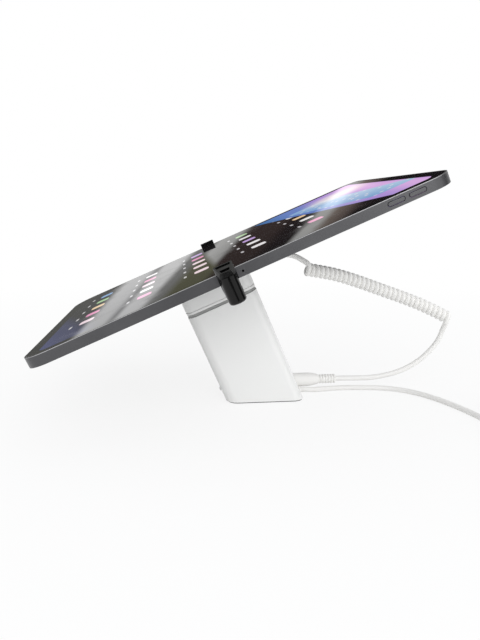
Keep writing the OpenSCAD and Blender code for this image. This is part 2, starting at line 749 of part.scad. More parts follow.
// Dock on top of the column
module dock_plate() {
  color(black) lean() difference() {
    slab(stem_w - 2 * (pocket_wall + seat_gap), stem_d - 2 * (pocket_wall + seat_gap), pocket_r - seat_gap,
      deck_s, stem_h);
    for (x = pin_places) translate([x, 0, 0]) rod(pin_r + screw_gap, deck_s - over, stem_h + over);
    for (x = magnet_places) translate([x, 0, 0]) rod(magnet_r + seat_gap, stem_h - magnet_t, stem_h + over);
  }
}
module dock_magnets() {
  color(steel) lean() for (x = magnet_places) translate([x, 0, 0]) rod(magnet_r, stem_h - magnet_t, stem_h);
}
module light_ring() {
  color([0.62, 0.63, 0.63]) lean() difference() {
    slab(stem_w - 2 * ring_inset, stem_d - 2 * ring_inset, stem_r - ring_inset, stem_h, ring_top);
    slab(opening_w, opening_d, opening_r, stem_h - over, ring_top + over);
  }
}
module contact_pins() {
  color(gold) lean() for (x = pin_places) translate([x, 0, 0])
    rod(pin_r, deck_s + pin_foot, spigot_s - pin_gap);
}

// Lift-off head
module head_inside(s0, s1) {
  slab(stem_w - 2 * head_wall, stem_d - 2 * head_wall, stem_r - head_wall, s0, s1);
}
module head_base() {
  color(white) lean() difference() {
    union() {
      slab(stem_w, stem_d, stem_r, base0, base1);
      slab(spigot_w, spigot_d, opening_r - move_gap, spigot_s, base1);
      difference() {
        slab(stem_w - 2 * groove_d, stem_d - 2 * groove_d, stem_r - groove_d, base0, shell0);
        head_inside(base1, shell0 + over);
      }
      for (x = [-head_post_p, head_post_p], y = [-head_post_q, head_post_q])
        translate([x, y, 0]) rod(head_post_r, base0, head_board_s);
    }
    for (p = head_places) translate(p) {
      rod(m25_r + screw_gap, spigot_s - over, shell0 + over);
      rod(m25_head_r + screw_gap, spigot_s - over, base0 + m25_head_h);
    }
    for (x = magnet_places) translate([x, 0, 0])
      rod(magnet_r + seat_gap, spigot_s - over, spigot_s + magnet_t);
    for (x = pin_places) translate([x, 0, 0]) rod(pad_r + seat_gap, spigot_s - over, spigot_s + contact_t);
  }
}
module head_shell() {
  color(white) lean() difference() {
    union() {
      difference() {
        slab(stem_w, stem_d, stem_r, shell0, shell1);
        head_inside(shell0 - over, shell1 - head_skin);
      }
      for (p = head_places) translate(p) rod(head_boss_r, shell0, shell1 - head_skin / 2);
    }
    for (p = head_places) translate(p) rod(m25_r + screw_gap, shell0 - over, shell0 + head_screw_l + over);
    arm_tunnel();
    translate([0, 0, tether_s]) rod_x(tether_gland_r + seat_gap, stem_w / 2 - head_wall - over, stem_w);
  }
}
module arm_tunnel() {
  half = arm_w / 2 + arm_gap;
  box(arm_p - half, arm_p + half, -stem_d, stem_d, arm_s0 - arm_gap, arm_s1 + arm_gap);
}
module head_screws() {
  color(steel) lean() for (p = head_places) translate(p) {
    rod(m25_head_r, base0 + screw_gap, base0 + m25_head_h);
    rod(m25_r, base0 + screw_gap, shell0 + head_screw_l);
  }
}
module head_pad() {
  color(black) lean() head_inside(shell1, back_s);
}
module head_board() {
  color(board_green) lean()
    slab(head_board_l, head_board_w, head_post_r, head_board_s, head_board_s + board_t);
}
module contact_pads() {
  color(gold) lean() for (x = pin_places) translate([x, 0, 0]) rod(pad_r, spigot_s, spigot_s + contact_t);
}
module head_magnets() {
  color(steel) lean() for (x = magnet_places) translate([x, 0, 0])
    rod(magnet_r, spigot_s, spigot_s + magnet_t);
}
module arm_guide() {
  color(steel) lean() difference() {
    box(arm_p - guide_w / 2, arm_p + guide_w / 2, -guide_d / 2, guide_d / 2, guide_s0, guide_s1);
    arm_tunnel();
    for (y = [-lock_q, lock_q]) translate([arm_p, y, 0])
      rod(m3_r + screw_gap, guide_s0 - over, guide_s1 + over);
  }
}
module arm_lock_screws() {
  color(steel) lean() for (y = [-lock_q, lock_q]) translate([arm_p, y, 0])
    m3_screw_down(guide_s0, lock_head_h, guide_s1 - screw_gap);
}
module m3_screw_down(seat, head_h, tip) {
  rod(m3_head_r, seat - head_h, seat);
  rod(m3_r, seat - head_h, tip);
}
module tether_gland() {
  face = stem_w / 2;
  color(cord_white) lean() translate([0, 0, tether_s]) turned_x([
    [0, face - head_wall - over], [tether_gland_r, face - head_wall - over], [tether_gland_r, face],
    [tether_flange_r, face], [tether_flange_r, face + tether_flange_t],
    [tether_gland_r, face + tether_flange_t], [tether_tip_r, tether_tip_p], [0, tether_tip_p]]);
}

// Tablet
module on_near_edge(u, w) { on_glass() translate([u, -tablet_w / 2, w]) rotate([90, 0, 0]) children(); }
module on_raised_end(v, w) { on_glass() translate([tablet_l / 2, v, w]) rotate([90, 0, 90]) children(); }
module on_lower_end(v, w) { on_glass() translate([-tablet_l / 2, v, w]) rotate([90, 0, -90]) children(); }
module key_opening() { stadium_bar(key_l + 2 * key_gap, key_h + 2 * key_gap, -frame_wall - over, over); }
module side_key() { stadium_bar(key_l, key_h, -key_depth, key_proud); }
module tablet_frame() {
  color(space_grey) difference() {
    on_glass() slab(tablet_l, tablet_w, tablet_r, -tablet_t, 0);
    on_glass() slab(tablet_l - 2 * frame_wall, tablet_w - 2 * frame_wall, tablet_r - frame_wall,
      tray_floor, over);
    on_glass() slab(tablet_l - 2 * rim, tablet_w - 2 * rim, tablet_r - rim, -glass_t, over);
    on_near_edge(volume_up_u, key_w) key_opening();
    on_near_edge(volume_down_u, key_w) key_opening();
    on_raised_end(power_key_v, key_w) key_opening();
    on_near_edge(mic_u, mic_w) rod(mic_r, -frame_wall - over, over);
    on_lower_end(0, key_w) stadium_bar(port_l, port_h, -frame_wall - over, over);
    for (y = [-1, 1], i = [0:speaker_count - 1])
      on_lower_end(y * (speaker_start + i * speaker_pitch), key_w) rod(speaker_r, -frame_wall - over, over);
  }
}
module tablet_glass() {
  color(black) on_glass()
    slab(tablet_l - 2 * (rim + seat_gap), tablet_w - 2 * (rim + seat_gap), tablet_r - rim - seat_gap,
      -glass_t, 0);
}
module tablet_display() {
  color("plum") on_glass()
    slab(tablet_l - 2 * bezel, tablet_w - 2 * bezel, tablet_r - bezel, -glass_t - panel_t, -glass_t);
}
module tablet_battery() {
  color(black) on_glass() box(-battery_l + battery_u, battery_u, -battery_w / 2, battery_w / 2,
    tray_floor, -glass_t - panel_t - seat_gap);
}
module tablet_board() {
  color(board_green) on_glass() {
    box(logic_u, logic_u + logic_l, -logic_w / 2, logic_w / 2, tray_floor, tray_floor + board_t / 2);
    for (y = [-1, 0, 1]) translate([logic_u + logic_l / 2, y * logic_w / 3, tray_floor])
      slab(logic_chip, logic_chip, over, 0, board_t);
  }
}
module rear_camera() {
  face = -tablet_t - camera_proud;
  color(black) on_glass() translate([tablet_l / 2 - camera_inset, tablet_w / 2 - camera_inset, 0])
    difference() {
      rod(camera_r, face, -tablet_t);
      rod(camera_r - camera_rim, face - over, face + camera_recess);
    }
}
module volume_up() { color(space_grey) on_near_edge(volume_up_u, key_w) side_key(); }
module volume_down() { color(space_grey) on_near_edge(volume_down_u, key_w) side_key(); }
module power_key() { color(space_grey) on_raised_end(power_key_v, key_w) side_key(); }

// Claws: an arm that slides out of the head, a post on its end and a hook that rises from the post
arm_z0 = arm_s0 - glass_s;
arm_z1 = arm_s1 - glass_s;
arm_outer_q = tablet_w / 2 + post_y - seat_gap;
tenon_end = post_y + post_r - tenon_skin;
module arm(far) {
  color(steel) lean() mirrored(far) translate([arm_p, 0, 0]) difference() {
    union() {
      box(-arm_w / 2, arm_w / 2, arm_inner_q, arm_outer_q, arm_s0, arm_s1);
      box(-tenon_w / 2, tenon_w / 2, arm_outer_q - over, tablet_w / 2 + tenon_end, arm_s0, arm_s1);
    }
    for (y = [lock_q - arm_travel, lock_q]) translate([0, y, 0])
      rod(lock_slot_r, arm_s0 - over, arm_s1 + over);
    box(-lock_slot_r, lock_slot_r, lock_q - arm_travel, lock_q, arm_s0 - over, arm_s1 + over);
    translate([0, tablet_w / 2 + grub_y, 0]) rod(m25_r + screw_gap, arm_s0 - over, arm_s1 + over);
  }
}
module post_profile() {
  translate([0, post_bottom + post_fillet]) square([post_r, post_top - post_bottom - post_fillet]);
  translate([0, post_bottom]) square([post_r - post_fillet, 2 * post_fillet]);
  translate([post_r - post_fillet, post_bottom + post_fillet]) circle(post_fillet);
}
module claw_post(far) {
  color(black) at_edge(far) difference() {
    translate([0, post_y, 0]) rotate_extrude(angle = 180) post_profile();
    translate([0, stem_pin_y, 0])
      rod(stem_pin_r + seat_gap, stem_pin_bottom - stem_pin_room, post_top + over);
    box(-tenon_w / 2 - seat_gap, tenon_w / 2 + seat_gap, post_y - over, tenon_end + seat_gap,
      arm_z0 - seat_gap, arm_z1 + seat_gap);
    translate([0, grub_y, 0]) rod(m25_r + screw_gap, post_bottom - over, arm_z1);
  }
}
module claw_screw(far) {
  color(steel) at_edge(far) translate([0, grub_y, 0]) rod(m25_r, post_bottom + grub_sink, arm_z1 - screw_gap);
}
module cap_plan() {
  half = cap_w / 2;
  x = cap_front / 2 - cap_corner;
  y = cap_nose - cap_corner;
  near = [[half, -lip], [half, cap_side],
    [x + cap_corner * cos(cap_lean), y + cap_corner * sin(cap_lean)], [x, cap_nose]];
  polygon(concat(near, [for (i = [3:-1:0]) [-near[i][0], near[i][1]]]));
  for (side = [-x, x]) translate([side, y]) circle(cap_corner);
}
module on_slope() { translate([0, -lip, lip_top]) rotate([-cap_slope, 0, 0]) children(); }
// How far the cap reaches along its slope in one direction, from the middle of the lip's edge
function cap_reach(way) = (cap_front / 2 - cap_corner) * abs(cos(way)) + cap_corner
  + (cap_nose - cap_corner + lip) / cos(cap_slope) * sin(way);
// What lies past the cap's sides and outer end, drawn in by the inset at its top
module past_cap(inset, lean) {
  far = 3 * cap_w;
  for (way = cap_ways) rotate(way) translate([cap_reach(way) - inset, 0, 0]) rotate([0, -lean, 0])
    box(0, far, -far, far, -far, far);
}
module cap_pocket(inset, start, depth) {
  on_slope() difference() {
    box(-cap_w, cap_w, start, 3 * cap_w, -depth, 2 * cap_w);
    past_cap(inset, 0);
  }
}
module hook(far) {
  color(black) at_edge(far) difference() {
    union() {
      difference() {
        translate([0, 0, -cap_drop]) linear_extrude(cap_drop + lip_top) cap_plan();
        on_slope() {
          box(-cap_w, cap_w, -cap_w, 3 * cap_w, 0, 2 * cap_w);
          past_cap(cap_bevel, bevel_lean);
        }
        cap_pocket(cap_bevel + cap_rim, cap_rim, ledge_depth);
        cap_pocket(cap_bevel + cap_rim + ledge_w, ledge_end, recess_depth);
      }
      box(-cheek_w / 2, cheek_w / 2, move_gap, move_gap + cheek_t, cheek_bottom, cheek_bite - cap_drop);
      translate([0, stem_pin_y, 0]) rod(stem_pin_r, stem_pin_bottom, cheek_bite - cap_drop);
    }
    box(-cheek_w, cheek_w, -2 * lip, move_gap, -2 * tablet_t, lip_under);
  }
}
module hook_pad(far) {
  half = cap_w / 2 - lip_pad_inset;
  color(black) at_edge(far)
    box(-half, half, -lip + lip_pad_inset, -lip_pad_inset, move_gap, lip_under);
}
module arm_near() { arm(false); }
module arm_far() { arm(true); }
module claw_post_near() { claw_post(false); }
module claw_post_far() { claw_post(true); }
module claw_screw_near() { claw_screw(false); }
module claw_screw_far() { claw_screw(true); }
module hook_near() { hook(false); }
module hook_far() { hook(true); }
module hook_pad_near() { hook_pad(false); }
module hook_pad_far() { hook_pad(true); }

// Tether
module tether_plug() {
  x0 = wall_rear_x(socket_z) - plug_nose_in;
  rib = [[plug_groove_r, 0], [plug_groove_r, plug_rib_share], [plug_rib_r, plug_rib_share], [plug_rib_r, 1]];
  ribs = [for (i = [0:plug_ribs - 1], p = rib) [p[0], plug_neck_x + (i + p[1]) * plug_rib_pitch]];
  profile = concat([[0, x0], [plug_body_r, x0], [plug_body_r, plug_shoulder_x - plug_edge_l],
    [plug_body_r - plug_edge_r, plug_shoulder_x], [plug_rib_r + plug_neck_r, plug_neck_x - plug_neck_l],
    [plug_rib_r, plug_neck_x]],
    ribs, [[0, plug_end_x]]);
  color(cord_white) translate([0, 0, socket_z]) {
    rod_x(plug_nose_r, x0, plug_shoulder_x);
    difference() {
      turned_x(profile);
      translate([0, 0, -socket_z]) column(seat_gap);
    }
  }
}
module tether_lead_head() { color(cord_white) lead(head_lead, side, tether_d, rear_way, curl_first); }
module tether_coil() {
  echo(str("Least gap between the tether's curls, mm: ", least_gap(curl_path, curl_rings / 2, curl_d)));
  echo(str("Length of the tether, mm: ", total_length([head_lead, curl_path, base_lead])));
  color(cord_white) tube(curl_path, curl_refs, curl_d / 2, form_sides, curl_first, curl_last);
}
module tether_lead_base() { color(cord_white) lead(base_lead, side, tether_d, curl_last, [-1, 0, 0]); }

// Power cord
module power_cord() { color(cord_white) lead(power_lead, up, power_d, [1, 0, 0], coil_first); }
module power_coil() {
  echo(str("Least gap between the coil's turns, mm: ", least_gap(coil_path, loop_rings / 2, power_d)));
  echo(str("Length of the power cord, mm: ", total_length([power_lead, coil_path, tail_lead])));
  color(cord_white) tube(coil_path, [for (p = coil_path) up], power_d / 2, form_sides, coil_first, coil_last);
}
module power_tail() { color(cord_white) lead(tail_lead, up, power_d, coil_last, unit(tail_way)); }
module coil_tie() {
  r0 = coil_in - power_d / 2 - tie_inner_gap;
  r1 = coil_out + power_d / 2 + tie_gap;
  z0 = coil_z - power_d / 2 - tie_gap;
  z1 = coil_z + (coil_layers - 1) * coil_rise + power_d / 2 + tie_gap;
  color(black) translate([coil_middle[0], coil_middle[1], 0]) rotate([0, 0, tie_angle]) difference() {
    box(r0 - tie_t, r1 + tie_t, -tie_w / 2, tie_w / 2, z0 - tie_t, z1 + tie_t);
    box(r0, r1, -tie_w, tie_w, z0, z1);
  }
}
module at_tail() { translate(tail_end) rotate([0, 0, atan2(tail_way[1], tail_way[0])]) children(); }
module power_plug() {
  color(cord_white) at_tail() translate([grip_l / 2, 0, 0])
    slab(grip_l, grip_w, grip_r, -grip_h / 2, grip_h / 2);
}
module power_plug_shell() {
  color(steel) at_tail() translate([grip_l, 0, 0]) {
    difference() {
      box(0, shell_l, -shell_w / 2, shell_w / 2, -shell_h / 2, shell_h / 2);
      box(over, shell_l + over, shell_wall - shell_w / 2, shell_w / 2 - shell_wall,
        shell_wall - shell_h / 2, shell_h / 2 - shell_wall);
    }
    box(0, shell_l - over, shell_wall - shell_w / 2, shell_w / 2 - shell_wall,
      shell_wall - shell_h / 2, shell_wall - shell_h / 2 + tongue_h);
  }
}

base_shell();
base_plate();
base_pad();
plate_screws();
ballast();
ballast_screws();
alarm_board();
board_chips();
board_screws();
siren();
backup_cell();
cell_clips();
tether_socket();
power_gland();
infrared_lens();
dock_plate();
dock_magnets();
light_ring();
contact_pins();
tether_plug();
tether_lead_base();
tether_coil();
tether_lead_head();
power_cord();
power_coil();
coil_tie();
power_tail();
power_plug();
power_plug_shell();
head_shell();
head_base();
head_screws();
head_pad();
head_board();
contact_pads();
head_magnets();
arm_guide();
arm_lock_screws();
tether_gland();
tablet_frame();
tablet_glass();
tablet_display();
tablet_battery();
tablet_board();
rear_camera();
arm_near();
claw_post_near();
claw_screw_near();
hook_near();
hook_pad_near();
arm_far();
claw_post_far();
claw_screw_far();
hook_far();
hook_pad_far();
volume_up();
volume_down();
power_key();
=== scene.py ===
import math
import bpy
from mathutils import Matrix, Vector


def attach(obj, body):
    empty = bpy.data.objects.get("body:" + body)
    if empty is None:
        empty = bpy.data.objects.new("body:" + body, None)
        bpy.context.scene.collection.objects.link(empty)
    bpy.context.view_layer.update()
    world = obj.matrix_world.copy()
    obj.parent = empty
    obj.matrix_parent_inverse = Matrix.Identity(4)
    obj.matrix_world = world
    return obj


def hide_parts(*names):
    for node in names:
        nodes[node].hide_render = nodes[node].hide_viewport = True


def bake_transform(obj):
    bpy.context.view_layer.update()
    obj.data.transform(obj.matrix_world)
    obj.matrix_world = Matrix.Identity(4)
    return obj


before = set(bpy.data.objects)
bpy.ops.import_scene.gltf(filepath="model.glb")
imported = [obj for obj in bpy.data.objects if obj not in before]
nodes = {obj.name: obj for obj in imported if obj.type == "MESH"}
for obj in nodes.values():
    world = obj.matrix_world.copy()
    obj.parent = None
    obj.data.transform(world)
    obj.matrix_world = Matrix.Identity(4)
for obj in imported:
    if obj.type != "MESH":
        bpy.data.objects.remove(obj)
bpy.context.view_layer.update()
scene = bpy.context.scene
scene.view_settings.view_transform = "Standard"

viewpoint = {
    "place": (-0.05558, -0.37895, 0.13116),  # metres, a little above the middle of the screen
    "down": 11.65,  # degrees below level
    "right": 6.007,  # degrees turned to the right of +Y
    "lens": 31.87, "sensor": 36,  # mm
    "nearest": 0.01,  # metres, where the view begins
}
cameraData = bpy.data.cameras.new("photoCamera")
cameraData.lens = viewpoint["lens"]
cameraData.sensor_width = viewpoint["sensor"]
cameraData.clip_start = viewpoint["nearest"]
camera = bpy.data.objects.new("photoCamera", cameraData)
camera.location = viewpoint["place"]
camera.rotation_euler = (math.radians(90 - viewpoint["down"]), 0, math.radians(-viewpoint["right"]))
scene.collection.objects.link(camera)
scene.camera = camera
print("camera set")


def addMesh(name, points, faces):
    mesh = bpy.data.meshes.new(name)
    mesh.from_pydata(points, [], faces)
    for face in mesh.polygons:
        face.use_smooth = True
    piece = bpy.data.objects.new(name, mesh)
    scene.collection.objects.link(piece)
    return piece


# a smooth line through given points, the same rule as the solids follow
def smoothRoute(points, steps):
    last = len(points) - 1
    line = []
    for i in range(last):
        a, b, c, d = points[max(i - 1, 0)], points[i], points[i + 1], points[min(i + 2, last)]
        for k in range(steps):
            t = k / steps
            bend = 2 * a - 5 * b + 4 * c - d + t * (3 * (b - c) + d - a)
            line.append(b + 0.5 * t * (c - a + t * bend))
    return line + [points[last]]


def routeLength(line):
    return sum((q - p).length for p, q in zip(line, line[1:]))


# the faces of a closed tube: its sides from ring to ring, then its two ends
def tubeFaces(rings, sides):
    end = (rings - 1) * sides
    faces = []
    for low in range(0, end, sides):
        for k in range(sides):
            after = (k + 1) % sides
            faces.append((low + k, low + after, low + sides + after, low + sides + k))
    return faces + [tuple(range(sides - 1, -1, -1)), tuple(range(end, end + sides))]


# a round cord swept along its line without twisting
def sweepCord(name, line, radius, sides):
    last = len(line) - 1
    ways = [(line[min(i + 1, last)] - line[max(i - 1, 0)]).normalized() for i in range(last + 1)]
    across = ways[0].orthogonal().normalized()
    points = []
    for middle, way in zip(line, ways):
        across = (across - across.dot(way) * way).normalized()
        beside = way.cross(across)
        for k in range(sides):
            turn = 2 * math.pi * k / sides
            points.append(middle + radius * (math.cos(turn) * across + math.sin(turn) * beside))
    return addMesh(name, points, tubeFaces(len(line), sides))


def inMetres(points):
    return [Vector(p) * 0.001 for p in points]


up = Vector((0, 0, 1))
tether = {
    "diameter": 3.6, "curlRadius": 2.85, "curls": 31,  # mm and a count
    "ringsPerCurl": 36, "sides": 24, "routeSteps": 8,  # how fine the mesh is
    "gland": (-5.369, 0, 91.977), "glandWay": (0.918446, 0, 0.395545), "plugEnd": (52.2, 0, 8.6),
    "headRoute": [(4, 0, 96), (12.4, 0, 97.3), (20.3, 0, 96.4), (26.2, -1.4, 93.7)],
    "axisRoute": [(30, 0, 86.9), (47.1, 3.6, 83.5), (59.6, 5.6, 80.1), (73.4, 7.2, 75.4),
                  (88.3, 8.2, 70), (102.2, 8.2, 65), (116, 7, 59.6), (129.3, 4.6, 53.3),
                  (134.4, 3.4, 50.6)],
    "baseRoute": [(132, 3.6, 41.3), (129.6, 4.4, 33.8), (125, 4.6, 27.2), (117.1, 4.2, 19.8),
                  (108.1, 3.4, 14.5), (99.3, 2.6, 11.2), (89.8, 1.8, 9.2), (79.1, 1, 8.1),
                  (69.3, 0.4, 8.2), (58, 0, 8.6)],
    # the curls between these two planes open as the head lifts
    # two planes across the curls
    "stretchFrom": (48.95, 0, 0), "stretchTo": (3.37, 0, 16.6),
}
axis = smoothRoute(inMetres(tether["axisRoute"]), tether["routeSteps"])
runs = [0.0]
for p, q in zip(axis, axis[1:]):
    runs.append(runs[-1] + (q - p).length)
pitch = runs[-1] / tether["curls"]
curlRadius = tether["curlRadius"] * 0.001
cordWidth = tether["diameter"] * 0.001


def axisAt(run):
    run = min(max(run, 0), runs[-1])
    i = max(k for k in range(len(runs) - 1) if runs[k] <= run)
    return axis[i].lerp(axis[i + 1], (run - runs[i]) / (runs[i + 1] - runs[i]))


def axisSides(run):
    way = (axisAt(run + pitch) - axisAt(run - pitch)).normalized()
    near = way.cross(up).normalized()
    return way, near, near.cross(way)


def curlAt(turn):
    _, near, upper = axisSides(turn * pitch)
    angle = 2 * math.pi * turn
    return axisAt(turn * pitch) + curlRadius * (math.cos(angle) * near - math.sin(angle) * upper)


def curlWay(run):
    way, _, upper = axisSides(run)
    return (pitch * way - 2 * math.pi * curlRadius * upper).normalized()


gland = Vector(tether["gland"]) * 0.001
curlSteps = tether["curls"] * tether["ringsPerCurl"]
curlLine = [curlAt(i / tether["ringsPerCurl"]) for i in range(curlSteps + 1)]
headLead = smoothRoute(
    [gland, gland + cordWidth * Vector(tether["glandWay"])] + inMetres(tether["headRoute"])
    + [curlLine[0] - cordWidth * curlWay(0), curlLine[0]], tether["routeSteps"])
baseLead = smoothRoute(
    [curlLine[-1], curlLine[-1] + cordWidth * curlWay(runs[-1])]
    + inMetres(tether["baseRoute"] + [tether["plugEnd"]]), tether["routeSteps"])
tetherLine = headLead[:-1] + curlLine + baseLead[1:]
tetherCord = sweepCord("curlyTether", tetherLine, cordWidth / 2, tether["sides"])
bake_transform(tetherCord)
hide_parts("tether_lead_head", "tether_coil", "tether_lead_base")
print("tether:", round(routeLength(tetherLine), 4), "m")

powerCord = {
    "diameter": 3.5, "gland": (27.184, -4, 2.6),  # mm
    "ringsPerTurn": 48, "sides": 20, "routeSteps": 6, "tailSteps": 8,  # how fine the mesh is
    "route": [(31, -4, 2.5), (36.5, -3.6, 2), (42.5, -2.6, 1.8), (50, -1.6, 1.8), (60, -1.3, 1.8),
              (70.5, -2.1, 1.8), (81, -3.7, 1.8), (91, -6.8, 1.8), (100, -12.4, 1.8),
              (107.5, -20.2, 1.8), (113, -28.8, 1.8), (117.4, -37.7, 1.8), (121, -47, 1.8),
              (124, -56.5, 1.8), (126.3, -66, 1.85), (128.6, -75.6, 2.25)],
    "tailRoute": [(178.7, -65.1, 14.6), (178.3, -55.1, 11.3), (178.9, -45.1, 7.7), (180.7, -35.5, 5),
                  (182.5, -26.7, 3.9)],
    "coilMiddle": (155.93, -81.54), "coilFloor": 2.6, "coilStart": 193.3,  # mm and degrees
    "layers": 4, "turns": 2.5, "climb": 0.5, "endStep": 0.005,  # a count, and parts of a turn
    "step": 4.35, "rise": 4.55, "inner": 13.7625, "outer": 24.6375,  # mm
}


# the put-away length, wound in and out in layers that climb half a turn between them
def coilAt(turn):
    span = powerCord["turns"] + powerCord["climb"]
    layer = min(int(turn / span), powerCord["layers"] - 1)
    part = turn - layer * span
    shift = powerCord["step"] * min(part, powerCord["turns"])
    radius = powerCord["outer"] - shift if layer % 2 == 0 else powerCord["inner"] + shift
    climbed = max(part - powerCord["turns"], 0) / powerCord["climb"]
    height = powerCord["coilFloor"] + powerCord["rise"] * (layer + climbed)
    angle = math.radians(powerCord["coilStart"] + 360 * turn)
    x, y = powerCord["coilMiddle"]
    return Vector((x + radius * math.cos(angle), y + radius * math.sin(angle), height)) * 0.001


coilTurns = powerCord["layers"] * powerCord["turns"] + (powerCord["layers"] - 1) * powerCord["climb"]
coilSteps = int(coilTurns * powerCord["ringsPerTurn"])
coilLine = [coilAt(i / powerCord["ringsPerTurn"]) for i in range(coilSteps + 1)]
powerWidth = powerCord["diameter"] * 0.001
coilFirst = (coilAt(powerCord["endStep"]) - coilAt(0)).normalized()
coilLast = (coilAt(coilTurns) - coilAt(coilTurns - powerCord["endStep"])).normalized()
powerLead = smoothRoute(inMetres([powerCord["gland"]] + powerCord["route"])
                        + [coilLine[0] - powerWidth * coilFirst, coilLine[0]], powerCord["routeSteps"])
tailLead = smoothRoute([coilLine[-1], coilLine[-1] + powerWidth * coilLast]
                       + inMetres(powerCord["tailRoute"]), powerCord["tailSteps"])
powerLine = powerLead[:-1] + coilLine + tailLead[1:]
powerPiece = sweepCord("powerLead", powerLine, powerWidth / 2, powerCord["sides"])
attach(powerPiece, "base")
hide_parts("power_cord", "power_coil", "power_tail")
print("power lead:", round(routeLength(powerLine), 4), "m")

coilStrap = {
    "inner": 11.2125, "outer": 26.6875, "floor": 0.55, "top": 18.3,  # mm, inside of the loop
    "width": 5, "thick": 0.5, "gap": 0.02, "corner": 1.7, "cornerSteps": 6,  # mm and a count
    "angle": 95,  # degrees round the coil
    "lap": 9, "lapShares": (0.2, 0.45, 0.7, 0.9, 1.0), "lapRise": 0.4,  # mm, and shares of the lap
}


# a flat strap round the coil's section, with its free end lapped on top
def strapLine():
    x0, x1, z0, z1 = (coilStrap[k] for k in ("inner", "outer", "floor", "top"))
    r = coilStrap["corner"]
    corners = ((x1 - r, z1 - r, 90), (x1 - r, z0 + r, 0), (x0 + r, z0 + r, -90), (x0 + r, z1 - r, -180))
    line = []
    for cornerX, cornerZ, start in corners:
        for k in range(coilStrap["cornerSteps"] + 1):
            turn = math.radians(start - 90 * k / coilStrap["cornerSteps"])
            outX, outZ = math.cos(turn), math.sin(turn)
            line.append((cornerX + r * outX, cornerZ + r * outZ, outX, outZ, 0.0))
    for share in coilStrap["lapShares"]:  # the lapped end steps up onto the strap's start
        lift = coilStrap["thick"] * min(share / coilStrap["lapRise"], 1)
        line.append((x0 + r + coilStrap["lap"] * share, z1, 0, 1, lift))
    return line


strapPoints = []
strapRings = strapLine()
strapTurn = Matrix.Rotation(math.radians(coilStrap["angle"]), 4, "Z")
strapMiddle = Vector((*powerCord["coilMiddle"], 0))
half, gap, thick = coilStrap["width"] / 2, coilStrap["gap"], coilStrap["thick"]
strapSection = ((-half, gap), (half, gap), (half, thick), (-half, thick))
for x, z, outX, outZ, lift in strapRings:
    for side, out in strapSection:
        spot = Vector((x + outX * (out + lift), side, z + outZ * (out + lift)))
        strapPoints.append((strapTurn @ spot + strapMiddle) * 0.001)
strap = addMesh("coilStrap", strapPoints, tubeFaces(len(strapRings), len(strapSection)))
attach(strap, "base")
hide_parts("coil_tie")
print("coil strap made")


# sRGB hex to linear light
def toLinear(code):
    parts = [int(code[i:i + 2], 16) / 255 for i in (1, 3, 5)]
    return tuple(c / 12.92 if c <= 0.04045 else ((c + 0.055) / 1.055) ** 2.4 for c in parts) + (1.0,)


# one node with its settings; a value that is another node's socket is linked
def addNode(tree, kind, settings):
    node = tree.nodes.new(kind)
    for key, value in settings.items():
        if key == "stops":
            ramp = node.color_ramp
            while len(ramp.elements) < len(value):
                ramp.elements.new(1.0)
            for element, (place, code) in zip(ramp.elements, value):
                element.position = place
                element.color = toLinear(code)
        elif key == "ease":
            node.color_ramp.interpolation = value
        elif isinstance(key, str) and key not in node.inputs:
            setattr(node, key, value)
        elif isinstance(value, bpy.types.NodeSocket):
            tree.links.new(value, node.inputs[key])
        else:
            node.inputs[key].default_value = value
    return node


def newTree(name):
    material = bpy.data.materials.new(name)
    material.use_nodes = True
    material.node_tree.nodes.clear()
    return material, material.node_tree


# colours laid over each other, each one where its share is 1
def layColours(tree, under, layers):
    for share, over in layers:
        mixed = addNode(tree, "ShaderNodeMix", {"data_type": "RGBA", 0: share, 6: under, 7: over})
        under = mixed.outputs[2]
    return under


# 1 inside a rounded box and 0 outside it
def roundedBox(tree, spot, middle, half, corner, soft):
    away = addNode(tree, "ShaderNodeVectorMath", {"operation": "SUBTRACT", 0: spot, 1: (*middle, 0)})
    folded = addNode(tree, "ShaderNodeVectorMath", {"operation": "ABSOLUTE", 0: away.outputs[0]})
    past = addNode(tree, "ShaderNodeVectorMath", {
        "operation": "SUBTRACT", 0: folded.outputs[0], 1: (half[0] - corner, half[1] - corner, 0)})
    outside = addNode(tree, "ShaderNodeVectorMath", {
        "operation": "MAXIMUM", 0: past.outputs[0], 1: (0, 0, 0)})
    distance = addNode(tree, "ShaderNodeVectorMath", {"operation": "LENGTH", 0: outside.outputs[0]})
    share = addNode(tree, "ShaderNodeMapRange", {
        "Value": distance.outputs["Value"], "From Min": corner + soft, "From Max": corner - soft})
    return share.outputs["Result"]


finishRange = {
    "tone": (0.32, 0.68), "rough": (0.3, 0.7),  # patch noise at the first and the second value of a look
    "edge": (0.52, 0.62),  # pointiness where an edge begins to turn paler (rubbed wear, partly a painted highlight), and where it fully does
}
